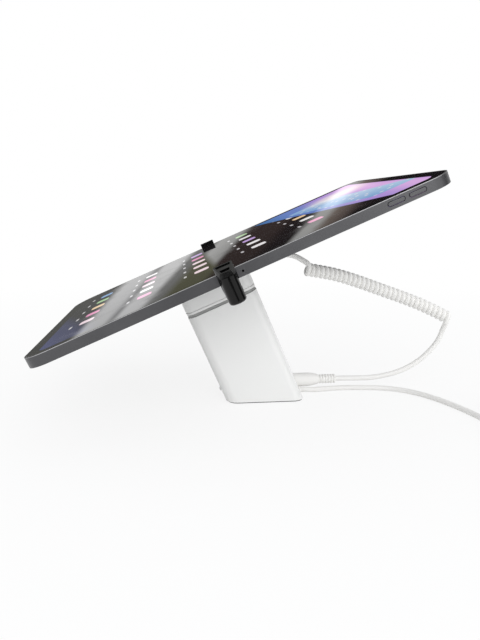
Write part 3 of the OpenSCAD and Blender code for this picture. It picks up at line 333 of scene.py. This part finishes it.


# tone and gloss vary in patches, a fine grain stands in relief, and edges are paler: rubbed wear, partly
# a painted highlight
def makeFinish(name, look):
    material, tree = newTree(name)
    place = addNode(tree, "ShaderNodeTexCoord", {})
    spread = addNode(tree, "ShaderNodeMapping", {
        "Vector": place.outputs["Object"], "Rotation": (0, math.radians(look.get("lean", 0)), 0),
        "Scale": look.get("stretch", (1, 1, 1))})
    patch = addNode(tree, "ShaderNodeTexNoise", {
        "Vector": spread.outputs["Vector"], "Scale": 1000 / look["patch"],
        "Detail": 4.0, "Roughness": 0.6})
    grain = addNode(tree, "ShaderNodeTexNoise", {
        "Vector": spread.outputs["Vector"], "Scale": 1000 / look["grain"],
        "Detail": 2.0, "Roughness": 0.5})
    tone = addNode(tree, "ShaderNodeValToRGB", {
        "Fac": patch.outputs["Fac"], "stops": list(zip(finishRange["tone"], look["colours"]))})
    colour = tone.outputs["Color"]
    # paler edges by pointiness: partly rubbed wear, partly a painted highlight
    if "edge" in look:
        shape = addNode(tree, "ShaderNodeNewGeometry", {})
        paleEdgeWearAndHighlight = addNode(tree, "ShaderNodeMapRange", {
            "Value": shape.outputs["Pointiness"], "From Min": finishRange["edge"][0],
            "From Max": finishRange["edge"][1], "To Min": 0.0, "To Max": look["edgeShare"]})
        colour = layColours(tree, colour, [(paleEdgeWearAndHighlight.outputs["Result"], toLinear(look["edge"]))])
    rough = addNode(tree, "ShaderNodeMapRange", {
        "Value": patch.outputs["Fac"], "From Min": finishRange["rough"][0],
        "From Max": finishRange["rough"][1], "To Min": look["rough"][0], "To Max": look["rough"][1]})
    relief = addNode(tree, "ShaderNodeBump", {
        "Height": grain.outputs["Fac"], "Strength": look["bump"], "Distance": look["relief"] / 1000})
    shader = addNode(tree, "ShaderNodeBsdfPrincipled", {
        "Base Color": colour, "Roughness": rough.outputs["Result"], "Normal": relief.outputs["Normal"],
        **look["shader"]})
    addNode(tree, "ShaderNodeOutputMaterial", {"Surface": shader.outputs["BSDF"]})
    return {"material": material, "tree": tree, "shader": shader, "place": place, "colour": colour}


def dress(material, names):
    for name in names:
        slots = nodes[name].data.materials
        slots.clear()
        slots.append(material)


edgeTools = {
    "weld": 0.00001,  # metres
    "flat": 0.3, "sharp": 38,  # degrees: faces joined below the one, edges rounded above the other
}


# mould and tool edges: welded, flats joined, then a small rounded edge
def easeEdges(look):
    width, steps = look["rounding"]
    for name in look.get("rounded", look["nodes"]):
        piece = nodes[name]
        weld = piece.modifiers.new("weld", "WELD")
        weld.merge_threshold = edgeTools["weld"]
        flats = piece.modifiers.new("flats", "DECIMATE")
        flats.decimate_type = "DISSOLVE"
        flats.angle_limit = math.radians(edgeTools["flat"])
        bevel = piece.modifiers.new("edges", "BEVEL")
        bevel.width = width / 1000
        bevel.segments = steps
        bevel.limit_method = "ANGLE"
        bevel.angle_limit = math.radians(edgeTools["sharp"])
        bevel.miter_outer = "MITER_ARC"
        for face in piece.data.polygons:
            face.use_smooth = True
        shade = piece.modifiers.new("shade", "WEIGHTED_NORMAL")
        shade.keep_sharp = False


# a finish on the nodes of a look; its rounding is in mm and steps, its patch, grain and relief in mm
def coat(name, look):
    finish = makeFinish(name, look)
    dress(finish["material"], look["nodes"])
    if "rounding" in look:
        easeEdges(look)
    return finish


whiteShell = {
    "nodes": ["base_shell", "head_shell", "head_base"], "rounding": (0.35, 3),
    "colours": ("#F0F0EE", "#F1F1EF"), "patch": 60, "rough": (0.15, 0.155),
    "grain": 0.9, "relief": 0.01, "bump": 0.05,  # spark texture of 0.3 mm, drawn coarser to show
    "shader": {"IOR": 1.54},
}
# moulded ABS with a fine spark texture: even white and glossy, so that its round corners show as lines
coat("mouldedAbsWhite", whiteShell)

ringLook = {
    "nodes": ["light_ring"], "rounding": (0.15, 2),
    "colours": ("#949593", "#A0A19F"), "patch": 12, "rough": (0.38, 0.5),
    "grain": 0.7, "relief": 0.02, "bump": 0.15,  # frosting of about 0.2 mm, drawn coarser
    "shader": {"IOR": 1.58, "Subsurface Weight": 0.2, "Subsurface Radius": (0.002, 0.002, 0.002),
               "Subsurface Scale": 0.5},
}
# frosted polycarbonate, unlit: a grey milky band
coat("frostedPolycarbonate", ringLook)

lensLook = {
    "nodes": ["infrared_lens"],
    "colours": ("#ECEDEB", "#F4F4F3"), "patch": 5, "rough": (0.1, 0.16),
    "grain": 1.2, "relief": 0.01, "bump": 0.05,
    "shader": {"IOR": 1.58},
}
# polished polycarbonate lens, slightly milky: a bright bead with a small highlight
coat("polishedPolycarbonate", lensLook)

rubberLook = {
    "nodes": ["base_pad", "head_pad", "hook_pad_near", "hook_pad_far"], "rounding": (0.15, 2),
    "colours": ("#1B1B1B", "#242423"), "patch": 9, "rough": (0.72, 0.86),
    "grain": 0.8, "relief": 0.05, "bump": 0.35,
    "shader": {"IOR": 1.5},
}
# moulded silicone rubber: dull black with a dusty grain
coat("mouldedSiliconeRubber", rubberLook)

jacketLook = {
    "nodes": ["tether_plug", "tether_gland", "power_gland", "power_plug"], "rounding": (0.3, 3),
    "colours": ("#F0EFEC", "#F1F0ED"), "patch": 60, "rough": (0.52, 0.53),
    "grain": 0.8, "relief": 0.01, "bump": 0.02,  # extrusion haze, drawn coarser than its 0.1 mm
    "shader": {"IOR": 1.53, "Specular IOR Level": 0.35},
}
# extruded PVC: warm white with a soft sheen
pvcJacket = coat("extrudedPvcJacket", jacketLook)
for piece in (tetherCord, powerPiece):
    piece.data.materials.append(pvcJacket["material"])

clawLook = {
    "nodes": ["hook_near", "hook_far", "claw_post_near", "claw_post_far"], "rounding": (0.4, 3),
    "colours": ("#030303", "#060606"), "patch": 14, "rough": (0.12, 0.17),
    # edge colour: partly rubbed wear, partly a painted highlight on the rims
    "edge": "#2C2C2B", "edgeShare": 0.15,
    "grain": 1.1, "relief": 0.02, "bump": 0.05,  # orange peel of about 1 mm
    "shader": {"IOR": 1.5, "Specular IOR Level": 0.28},
}
# powder-coated zinc casting: glossy black with upright streaks of light, its edges painted paler: partly
# rubbed wear, partly a painted highlight on the rims
coat("powderCoatedZinc", clawLook)

blackPlasticLook = {
    "nodes": ["siren", "tether_socket", "dock_plate", "cell_clips"],
    "colours": ("#19191A", "#212122"), "patch": 10, "rough": (0.45, 0.55),
    "grain": 0.8, "relief": 0.03, "bump": 0.2,
    "shader": {"IOR": 1.54},
}
# moulded ABS, satin black: inner fittings and the dock
coat("mouldedAbsBlack", blackPlasticLook)

steelLook = {
    "nodes": ["base_plate", "plate_screws", "ballast", "ballast_screws", "board_screws", "head_screws",
              "arm_guide", "arm_lock_screws", "arm_near", "arm_far", "claw_screw_near", "claw_screw_far",
              "power_plug_shell"],
    "rounded": ["arm_near", "arm_far", "power_plug_shell"], "rounding": (0.15, 2),
    "colours": ("#9DA0A3", "#B4B6B8"), "patch": 8, "rough": (0.28, 0.42), "stretch": (1, 0.06, 1),
    "grain": 0.5, "relief": 0.02, "bump": 0.15,  # brushing lines of about 0.5 mm, run along Y
    "shader": {"Metallic": 1.0},
}
# brushed, zinc-plated steel: grey with fine lines across the stand
coat("brushedZincSteel", steelLook)

goldLook = {
    "nodes": ["contact_pins", "contact_pads"],
    "colours": ("#D6AE57", "#E2BD6B"), "patch": 2, "rough": (0.18, 0.26),
    "grain": 0.4, "relief": 0.01, "bump": 0.1,
    "shader": {"Metallic": 1.0},
}
# gold flash on turned brass: warm and bright
coat("goldPlatedBrass", goldLook)

nickelLook = {
    "nodes": ["dock_magnets", "head_magnets"],
    "colours": ("#B7B5AE", "#C6C4BD"), "patch": 3, "rough": (0.16, 0.24),
    "grain": 0.5, "relief": 0.01, "bump": 0.1,
    "shader": {"Metallic": 1.0},
}
# nickel-plated magnets: a warm bright grey
coat("nickelPlatedMagnet", nickelLook)

boardLook = {
    "nodes": ["alarm_board", "head_board", "tablet_board"],
    "colours": ("#1F4A31", "#2A6040"), "patch": 4, "rough": (0.3, 0.4),
    "grain": 1.2, "relief": 0.03, "bump": 0.3,
    "track": 1.6, "trackWidth": 0.08, "trackColour": "#5E8A5C",  # mm between tracks, and a share of that
    "shader": {"IOR": 1.55},
}
# solder mask over etched copper: glossy green with paler tracks
solderMask = coat("solderMaskedBoard", boardLook)
tracks = addNode(solderMask["tree"], "ShaderNodeTexBrick", {
    "Vector": solderMask["place"].outputs["Object"], "Scale": 1000 / boardLook["track"],
    "Mortar Size": boardLook["trackWidth"], "Mortar": toLinear(boardLook["trackColour"]),
    "Color1": toLinear(boardLook["colours"][0]), "Color2": toLinear(boardLook["colours"][1])})
solderMask["tree"].links.new(tracks.outputs["Color"], solderMask["shader"].inputs["Base Color"])

chipLook = {
    "nodes": ["board_chips"],
    "colours": ("#202021", "#2A2A2B"), "patch": 3, "rough": (0.5, 0.62),
    "grain": 0.5, "relief": 0.02, "bump": 0.2,
    "shader": {"IOR": 1.55},
}
# moulded epoxy: matt charcoal
coat("mouldedEpoxyChip", chipLook)

sleeveLook = {
    "nodes": ["backup_cell"],
    "colours": ("#3E6C8E", "#4A7A9C"), "patch": 9, "rough": (0.3, 0.38),
    "grain": 1.5, "relief": 0.02, "bump": 0.15,
    "shader": {"IOR": 1.53},
}
# shrunk PVC sleeve: glossy blue film
coat("shrunkPvcSleeve", sleeveLook)

pouchLook = {
    "nodes": ["tablet_battery"],
    "colours": ("#2A2A2C", "#343436"), "patch": 12, "rough": (0.4, 0.5),
    "grain": 1.0, "relief": 0.03, "bump": 0.2,
    "shader": {"IOR": 1.5},
}
# laminated foil pouch: satin charcoal
coat("laminatedFoilPouch", pouchLook)

cameraLook = {
    "nodes": ["rear_camera"], "rounding": (0.2, 2),
    "colours": ("#17171A", "#1E1E22"), "patch": 6, "rough": (0.12, 0.2),
    "grain": 1.0, "relief": 0.01, "bump": 0.05,
    "shader": {"IOR": 1.5},
}
# black anodised ring under glass: smooth and glossy
coat("blackAnodisedRing", cameraLook)

strapLook = {
    "colours": ("#191919", "#262626"), "patch": 3, "rough": (0.8, 0.92),
    "grain": 0.45, "relief": 0.25, "bump": 0.7,  # loop pile, 0.4 mm
    "shader": {"IOR": 1.5, "Sheen Weight": 0.4},
}
# woven nylon with loop pile: matt black, fuzzy
wovenNylon = makeFinish("wovenNylonLoop", strapLook)
strap.data.materials.append(wovenNylon["material"])

tabletMetal = {
    "nodes": ["tablet_frame", "volume_up", "volume_down", "power_key"], "rounding": (0.3, 2),
    "colours": ("#58585A", "#606062"), "patch": 40, "rough": (0.36, 0.44),
    "grain": 0.7, "relief": 0.02, "bump": 0.12,  # bead blasting of 0.1 mm, drawn coarser to show
    "shader": {"Metallic": 0.85},
    "lean": 23.3, "shift": 15.8, "glassHeight": 101.9,  # degrees and mm, the tablet's place
    "half": (123.8, 89.25), "corner": 14.5,  # mm, its outline
    "chamferHighlight": "#C4C4C6",  # a bright cut: a polished chamfer, its shine a painted highlight
    "chamferDepth": 0.25, "chamferSoft": 0.1, "chamferWidth": 0.4,  # mm
    "ends": (112, 120), "endHighlightShare": 0.35,  # mm from the middle, where the painted highlight on the cut turns duller towards the short ends
    "gapShade": "#0A0A0B", "gapShadeSoft": 0.06,  # mm; painted shade: a black line for the dark gap between the cut and the glass
}


# a place on the tablet in mm along, across and above its glass, and the same laid flat
def tabletSpot(tree, place):
    turned = addNode(tree, "ShaderNodeMapping", {
        "Vector": place.outputs["Object"], "Rotation": (0, math.radians(tabletMetal["lean"]), 0),
        "Location": (-tabletMetal["shift"] / 1000, 0, -tabletMetal["glassHeight"] / 1000)})
    spot = addNode(tree, "ShaderNodeVectorMath", {
        "operation": "SCALE", 0: turned.outputs["Vector"], "Scale": 1000})
    flat = addNode(tree, "ShaderNodeVectorMath", {
        "operation": "MULTIPLY", 0: spot.outputs[0], 1: (1, 1, 0)})
    return spot.outputs[0], flat.outputs[0]


# bead-blasted anodised aluminium: even dark grey, with a polished chamfer along the top edge whose shine
# is a painted highlight line, and painted shade in the gap next to the glass
anodised = coat("beadBlastedAnodisedAluminium", tabletMetal)
metalTree = anodised["tree"]
metalSpot, metalFlat = tabletSpot(metalTree, anodised["place"])
metalAxes = addNode(metalTree, "ShaderNodeSeparateXYZ", {"Vector": metalSpot})
cutDepth, cutSoft = tabletMetal["chamferDepth"], tabletMetal["chamferSoft"]
cutWidth = tabletMetal["chamferWidth"]
# painted highlight: the chamfer's band is coloured bright, duller near the short ends
cutHighlight = addNode(metalTree, "ShaderNodeMapRange", {
    "Value": metalAxes.outputs["Z"], "From Min": -cutDepth - cutSoft, "From Max": -cutDepth + cutSoft})
toEnd = addNode(metalTree, "ShaderNodeMath", {"operation": "ABSOLUTE", 0: metalAxes.outputs["X"]})
endHighlightShare = addNode(metalTree, "ShaderNodeMapRange", {
    "Value": toEnd.outputs[0], "From Min": tabletMetal["ends"][0], "From Max": tabletMetal["ends"][1],
    "To Min": 1.0, "To Max": tabletMetal["endHighlightShare"]})
cutHighlightShare = addNode(metalTree, "ShaderNodeMath", {
    "operation": "MULTIPLY", 0: cutHighlight.outputs["Result"], 1: endHighlightShare.outputs["Result"]})
withinCut = roundedBox(metalTree, metalFlat, (0, 0), [h - cutWidth for h in tabletMetal["half"]],
                       tabletMetal["corner"] - cutWidth, tabletMetal["gapShadeSoft"])
# painted shade: the gap between chamfer and glass is coloured black
gapShadeShare = addNode(metalTree, "ShaderNodeMath", {
    "operation": "MULTIPLY", 0: cutHighlight.outputs["Result"], 1: withinCut})
metalColour = layColours(metalTree, anodised["colour"], [
    (cutHighlightShare.outputs[0], toLinear(tabletMetal["chamferHighlight"])),
    (gapShadeShare.outputs[0], toLinear(tabletMetal["gapShade"]))])
metalTree.links.new(metalColour, anodised["shader"].inputs["Base Color"])
print("plain finishes made")

screen = {
    "nodes": ["tablet_glass", "tablet_display"], "rounded": ["tablet_glass"], "rounding": (0.2, 2),
    "bezel": 8.5, "corner": 6, "soft": 0.2, "border": "#0C0C0E",  # mm round the lit area
    "slant": 0.36, "drift": 8, "driftScale": 0.012,  # the fields lean and wander by mm, in 80 mm waves
    "dark": [(0.0, "#3C4270"), (0.12, "#2E3358"), (0.2, "#16151C"), (0.6, "#110F10"), (1.0, "#151113")],
    "field": [(0.0, "#3B74AE"), (0.36, "#6A86CB"), (0.66, "#B598E0"), (0.9, "#E3B7EE"),
              (1.0, "#D6ACEA")],
    "darkReach": (-145, 70), "fieldReach": (34, 118), "fieldFrom": 66, "fieldSoft": 0.8,  # mm
    # rounded boxes in mm: middle, half sizes, corner and soft edge
    "tile": ((0, 0), (4.6, 5), 2.6, 0.15), "note": ((-10.5, 0), (0.9, 3.4), 0.8, 0.15),
    "tileZone": ((-18, 4), (92.5, 60), 1, 0.2), "panel": ((84, -6), (15, 50), 6, 0.3),
    "tilePitch": (37, 24), "tileShift": (0.5, 4), "noteColour": "#C9C7CA",  # mm, a grid of tiles
    "tileColours": [(0.0, "#F4F1F2"), (0.18, "#E58FBB"), (0.32, "#F3DCE6"), (0.5, "#A9CF9A"),
                    (0.58, "#F6F4F4"), (0.72, "#8FB4E0"), (0.82, "#C9A9E4"), (0.92, "#F2D2A8")],
    "panelReach": (68, 100), "panelColours": [(0.0, "#7FA9D8"), (1.0, "#BAD5EE")],  # mm
    "dots": 10, "dotSpread": 0.7, "dotEdge": (0.16, 0.1), "dotShare": 0.7,  # mm between dots, and shares
    "glow": "#FFF4F1", "glowAt": (95, 40), "glowReach": 34, "glowShare": 0.95,  # mm
    "brightness": 0.85,
    "marks": 20, "markRange": (0.45, 0.75), "rough": (0.02, 0.09),  # finger marks of about 20 mm
}


# colours that run from one place to another
def spreadColours(tree, value, reach, stops, ease):
    share = addNode(tree, "ShaderNodeMapRange", {
        "Value": value, "From Min": reach[0], "From Max": reach[1]})
    ramp = addNode(tree, "ShaderNodeValToRGB", {
        "Fac": share.outputs["Result"], "stops": stops, "ease": ease})
    return ramp.outputs["Color"]


# what the display shows, in mm on the glass: a dark field, a lilac one, tiles in a grid and a pale panel
def drawScreen(tree):
    place = addNode(tree, "ShaderNodeTexCoord", {})
    _, flat = tabletSpot(tree, place)
    axes = addNode(tree, "ShaderNodeSeparateXYZ", {"Vector": flat})
    drift = addNode(tree, "ShaderNodeTexNoise", {
        "Vector": flat, "Scale": screen["driftScale"], "Detail": 1.0})
    slant = addNode(tree, "ShaderNodeMath", {
        "operation": "MULTIPLY_ADD", 0: axes.outputs["Y"], 1: screen["slant"], 2: axes.outputs["X"]})
    wander = addNode(tree, "ShaderNodeMath", {
        "operation": "MULTIPLY_ADD", 0: drift.outputs["Fac"], 1: screen["drift"], 2: slant.outputs[0]})
    dark = spreadColours(tree, wander.outputs[0], screen["darkReach"], screen["dark"], "EASE")
    field = spreadColours(tree, axes.outputs["X"], screen["fieldReach"], screen["field"], "EASE")
    fieldShare = addNode(tree, "ShaderNodeMapRange", {
        "Value": wander.outputs[0], "From Min": screen["fieldFrom"] - screen["fieldSoft"],
        "From Max": screen["fieldFrom"] + screen["fieldSoft"]})
    # each tile and its note sit in one cell of the grid, on the dark field only
    pitchX, pitchY = screen["tilePitch"]
    shiftX, shiftY = screen["tileShift"]
    cells = addNode(tree, "ShaderNodeVectorMath", {
        "operation": "MULTIPLY_ADD", 0: flat, 1: (1 / pitchX, 1 / pitchY, 0),
        2: (shiftX / pitchX, (pitchY / 2 - shiftY) / pitchY, 0)})
    inCell = addNode(tree, "ShaderNodeVectorMath", {"operation": "FRACTION", 0: cells.outputs[0]})
    fromMiddle = addNode(tree, "ShaderNodeVectorMath", {
        "operation": "MULTIPLY_ADD", 0: inCell.outputs[0], 1: (pitchX, pitchY, 0),
        2: (-pitchX / 2, -pitchY / 2, 0)})
    cell = addNode(tree, "ShaderNodeVectorMath", {"operation": "FLOOR", 0: cells.outputs[0]})
    chance = addNode(tree, "ShaderNodeTexWhiteNoise", {
        "noise_dimensions": "2D", "Vector": cell.outputs[0]})
    tileColour = addNode(tree, "ShaderNodeValToRGB", {
        "Fac": chance.outputs["Value"], "stops": screen["tileColours"], "ease": "CONSTANT"})
    zone = roundedBox(tree, flat, *screen["tileZone"])
    onField = []
    for box, colour in (("tile", tileColour.outputs["Color"]), ("note", toLinear(screen["noteColour"]))):
        shape = roundedBox(tree, fromMiddle.outputs[0], *screen[box])
        share = addNode(tree, "ShaderNodeMath", {"operation": "MULTIPLY", 0: shape, 1: zone})
        onField.append((share.outputs[0], colour))
    # the lilac field holds a leaning panel with dots, and a soft glow
    leaning = addNode(tree, "ShaderNodeCombineXYZ", {"X": slant.outputs[0], "Y": axes.outputs["Y"]})
    panelShare = roundedBox(tree, leaning.outputs["Vector"], *screen["panel"])
    panel = spreadColours(tree, slant.outputs[0], screen["panelReach"], screen["panelColours"], "LINEAR")
    dots = addNode(tree, "ShaderNodeTexVoronoi", {
        "voronoi_dimensions": "2D", "Vector": flat, "Scale": 1 / screen["dots"],
        "Randomness": screen["dotSpread"]})
    dotShare = addNode(tree, "ShaderNodeMapRange", {
        "Value": dots.outputs["Distance"], "From Min": screen["dotEdge"][0],
        "From Max": screen["dotEdge"][1], "To Max": screen["dotShare"]})
    fromGlow = addNode(tree, "ShaderNodeVectorMath", {
        "operation": "DISTANCE", 0: flat, 1: (*screen["glowAt"], 0)})
    glow = addNode(tree, "ShaderNodeMapRange", {
        "interpolation_type": "SMOOTHSTEP", "Value": fromGlow.outputs["Value"],
        "From Min": screen["glowReach"], "From Max": 0.0, "To Max": screen["glowShare"]})
    paleGlow = toLinear(screen["glow"])
    dotted = layColours(tree, panel, [(dotShare.outputs["Result"], paleGlow)])
    lilac = layColours(tree, field, [(panelShare, dotted), (glow.outputs["Result"], paleGlow)])
    shown = layColours(tree, dark, onField + [(fieldShare.outputs["Result"], lilac)])
    litHalf = [h - screen["bezel"] for h in tabletMetal["half"]]
    lit = roundedBox(tree, flat, (0, 0), litHalf, screen["corner"], screen["soft"])
    return layColours(tree, toLinear(screen["border"]), [(lit, shown)]), flat


# polished cover glass over a lit panel: clear reflections, faint finger marks, black printed border
coverGlass, glassTree = newTree("polishedCoverGlass")
picture, glassSpot = drawScreen(glassTree)
marks = addNode(glassTree, "ShaderNodeTexNoise", {
    "Vector": glassSpot, "Scale": 1 / screen["marks"], "Detail": 5.0, "Roughness": 0.6})
gloss = addNode(glassTree, "ShaderNodeMapRange", {
    "Value": marks.outputs["Fac"], "From Min": screen["markRange"][0],
    "From Max": screen["markRange"][1], "To Min": screen["rough"][0], "To Max": screen["rough"][1]})
glassShader = addNode(glassTree, "ShaderNodeBsdfPrincipled", {
    "Base Color": toLinear(screen["border"]), "Roughness": gloss.outputs["Result"], "IOR": 1.5,
    "Emission Color": picture, "Emission Strength": screen["brightness"]})
addNode(glassTree, "ShaderNodeOutputMaterial", {"Surface": glassShader.outputs["BSDF"]})
coverGlass.cycles.emission_sampling = "NONE"  # too faint to light anything
dress(coverGlass, screen["nodes"])
easeEdges(screen)
print("screen drawn")

studio = {
    "floorHalf": 4, "floorDrop": 0.0001,  # metres
    "floorColours": [(0.3, "#F2F2F1"), (0.7, "#F4F4F3")], "floorPatches": 40,  # patches across the sheet
    "floorGlow": (0.84, 1.0), "glowReach": (0.22, 0.6),  # shares seen as plain white, and metres out
    "worldLevel": 0.84, "worldColour": "#FBFCFF",
    "lamps": [  # name, place, aim, size and watts
        ("keyBox", (0.12, -1.05, 0.62), (0.0, 0.0, 0.03), 0.9, 5.0),
        ("fillBox", (0.9, -0.35, 0.7), (0.03, 0.0, 0.06), 0.8, 1.2),
    ],
    # a striped card behind the object, in metres, with its bands from the floor up
    "cardAt": 1.2, "cardHalf": 1.2, "cardTop": 2.4, "bandsTop": 0.75,
    "cardBands": [(0.0, "#6C6C68"), (0.115, "#6C6C68"), (0.13, "#F0F0F0"), (0.165, "#F0F0F0"),
                  (0.18, "#A8A8A8"), (0.192, "#F8F8F8"), (0.226, "#F8F8F8"), (0.24, "#8C8C8A"),
                  (0.265, "#8C8C8A"), (0.28, "#CECECC"), (0.315, "#BCBCBA"), (0.33, "#3C322F"),
                  (0.4, "#3C322F"), (0.43, "#221D1D"), (0.462, "#221D1D"), (0.477, "#C8C8C6"),
                  (0.5, "#C8C8C6"), (0.52, "#84786F"), (0.545, "#6E625C"), (0.575, "#1C1818"),
                  (0.8, "#1C1818"), (1.0, "#BEBEBC")],
    # an olive sheet on its left, in metres across and shares of the bands up: middle, half sizes, corner
    # and soft edge
    "sheet": ((-0.3, 0.3), (0.22, 0.036), 0.012, 0.01), "sheetColour": "#6A6A54",
    "flags": [("rightFlag", (1.0, -0.42), (1.0, 0.3), 1.0),  # metres: their two ends and their top
              ("frontFlag", (-0.17, -0.5), (0.12, -0.5), 0.35)],
    "flagColour": "#6A6A6A",
}


# 1 for what the eye, gloss and glass see, 0 for the light that falls on the object
def seenShare(tree):
    rays = addNode(tree, "ShaderNodeLightPath", {})
    seen = addNode(tree, "ShaderNodeMath", {
        "operation": "MAXIMUM", 0: rays.outputs["Is Camera Ray"], 1: rays.outputs["Is Glossy Ray"]})
    seenAll = addNode(tree, "ShaderNodeMath", {
        "operation": "MAXIMUM", 0: seen.outputs[0], 1: rays.outputs["Is Transmission Ray"]})
    return seenAll.outputs[0]


reach, drop = studio["floorHalf"], -studio["floorDrop"]
floor = addMesh("paperFloor", [(-reach, -reach, drop), (reach, -reach, drop), (reach, reach, drop),
                               (-reach, reach, drop)], [(0, 1, 2, 3)])
# matt backdrop paper: plain white that still takes a soft shadow
paper, paperTree = newTree("mattPaper")
paperPlace = addNode(paperTree, "ShaderNodeNewGeometry", {})
farOff = addNode(paperTree, "ShaderNodeVectorMath", {
    "operation": "LENGTH", 0: paperPlace.outputs["Position"]})
glowShare = addNode(paperTree, "ShaderNodeMapRange", {
    "Value": farOff.outputs["Value"],
    "From Min": studio["glowReach"][0], "From Max": studio["glowReach"][1],
    "To Min": studio["floorGlow"][0], "To Max": studio["floorGlow"][1]})
plainShare = addNode(paperTree, "ShaderNodeMath", {
    "operation": "MULTIPLY", 0: seenShare(paperTree), 1: glowShare.outputs["Result"]})
paperTone = addNode(paperTree, "ShaderNodeTexNoise", {"Scale": studio["floorPatches"], "Detail": 3.0})
paperColour = addNode(paperTree, "ShaderNodeValToRGB", {
    "Fac": paperTone.outputs["Fac"], "stops": studio["floorColours"]})
paperShader = addNode(paperTree, "ShaderNodeBsdfDiffuse", {"Color": paperColour.outputs["Color"]})
paperGlow = addNode(paperTree, "ShaderNodeEmission", {"Strength": 1.0})
paperMix = addNode(paperTree, "ShaderNodeMixShader", {
    0: plainShare.outputs[0], 1: paperShader.outputs["BSDF"], 2: paperGlow.outputs["Emission"]})
addNode(paperTree, "ShaderNodeOutputMaterial", {"Surface": paperMix.outputs["Shader"]})
paper.cycles.emission_sampling = "NONE"  # it is only seen, and lights nothing
floor.data.materials.append(paper)


# an upright card that only gloss sees
def glossCard(name, start, end, top):
    piece = addMesh(name, [(*start, 0.0), (*end, 0.0), (*end, top), (*start, top)], [(0, 1, 2, 3)])
    for sense in ("visible_camera", "visible_diffuse", "visible_shadow", "visible_transmission"):
        setattr(piece, sense, False)
    return piece


# printed card: soft bands of light and dark in the glass
cardHalf, cardAt = studio["cardHalf"], studio["cardAt"]
card = glossCard("stripedCard", (-cardHalf, cardAt), (cardHalf, cardAt), studio["cardTop"])
cardPaint, cardTree = newTree("stripedCardPaint")
cardPlace = addNode(cardTree, "ShaderNodeTexCoord", {})
cardSpot = addNode(cardTree, "ShaderNodeVectorMath", {
    "operation": "MULTIPLY", 0: cardPlace.outputs["Object"], 1: (1, 0, 1 / studio["bandsTop"])})
cardAxes = addNode(cardTree, "ShaderNodeSeparateXYZ", {"Vector": cardSpot.outputs[0]})
cardColour = addNode(cardTree, "ShaderNodeValToRGB", {
    "Fac": cardAxes.outputs["Z"], "stops": studio["cardBands"]})
cardFlat = addNode(cardTree, "ShaderNodeCombineXYZ", {
    "X": cardAxes.outputs["X"], "Y": cardAxes.outputs["Z"]})
sheetShare = roundedBox(cardTree, cardFlat.outputs["Vector"], *studio["sheet"])
cardShown = layColours(cardTree, cardColour.outputs["Color"], [
    (sheetShare, toLinear(studio["sheetColour"]))])
cardGlow = addNode(cardTree, "ShaderNodeEmission", {"Color": cardShown, "Strength": 1.0})
addNode(cardTree, "ShaderNodeOutputMaterial", {"Surface": cardGlow.outputs["Emission"]})
cardPaint.cycles.emission_sampling = "NONE"
card.data.materials.append(cardPaint)

# dark flags: a grey line down the round corners, dark streaks in the claws
flagPaint, flagTree = newTree("mattGreyFlag")
flagShader = addNode(flagTree, "ShaderNodeBsdfDiffuse", {"Color": toLinear(studio["flagColour"])})
addNode(flagTree, "ShaderNodeOutputMaterial", {"Surface": flagShader.outputs["BSDF"]})
for flag in studio["flags"]:
    glossCard(*flag).data.materials.append(flagPaint)

world = bpy.data.worlds.new("whiteRoom")
world.use_nodes = True
worldTree = world.node_tree
worldTree.nodes.clear()
worldLight = addNode(worldTree, "ShaderNodeBackground", {
    "Color": toLinear(studio["worldColour"]), "Strength": studio["worldLevel"]})
worldWhite = addNode(worldTree, "ShaderNodeBackground", {"Color": (1, 1, 1, 1), "Strength": 1.0})
worldMix = addNode(worldTree, "ShaderNodeMixShader", {
    0: seenShare(worldTree), 1: worldLight.outputs["Background"], 2: worldWhite.outputs["Background"]})
addNode(worldTree, "ShaderNodeOutputWorld", {"Surface": worldMix.outputs["Shader"]})
scene.world = world
for name, place, aim, size, watts in studio["lamps"]:
    lampData = bpy.data.lights.new(name, "AREA")
    lampData.shape = "SQUARE"
    lampData.size = size
    lampData.energy = watts
    lamp = bpy.data.objects.new(name, lampData)
    lamp.location = place
    lamp.rotation_euler = (Vector(aim) - Vector(place)).to_track_quat("-Z", "Y").to_euler()
    scene.collection.objects.link(lamp)
print("studio set")
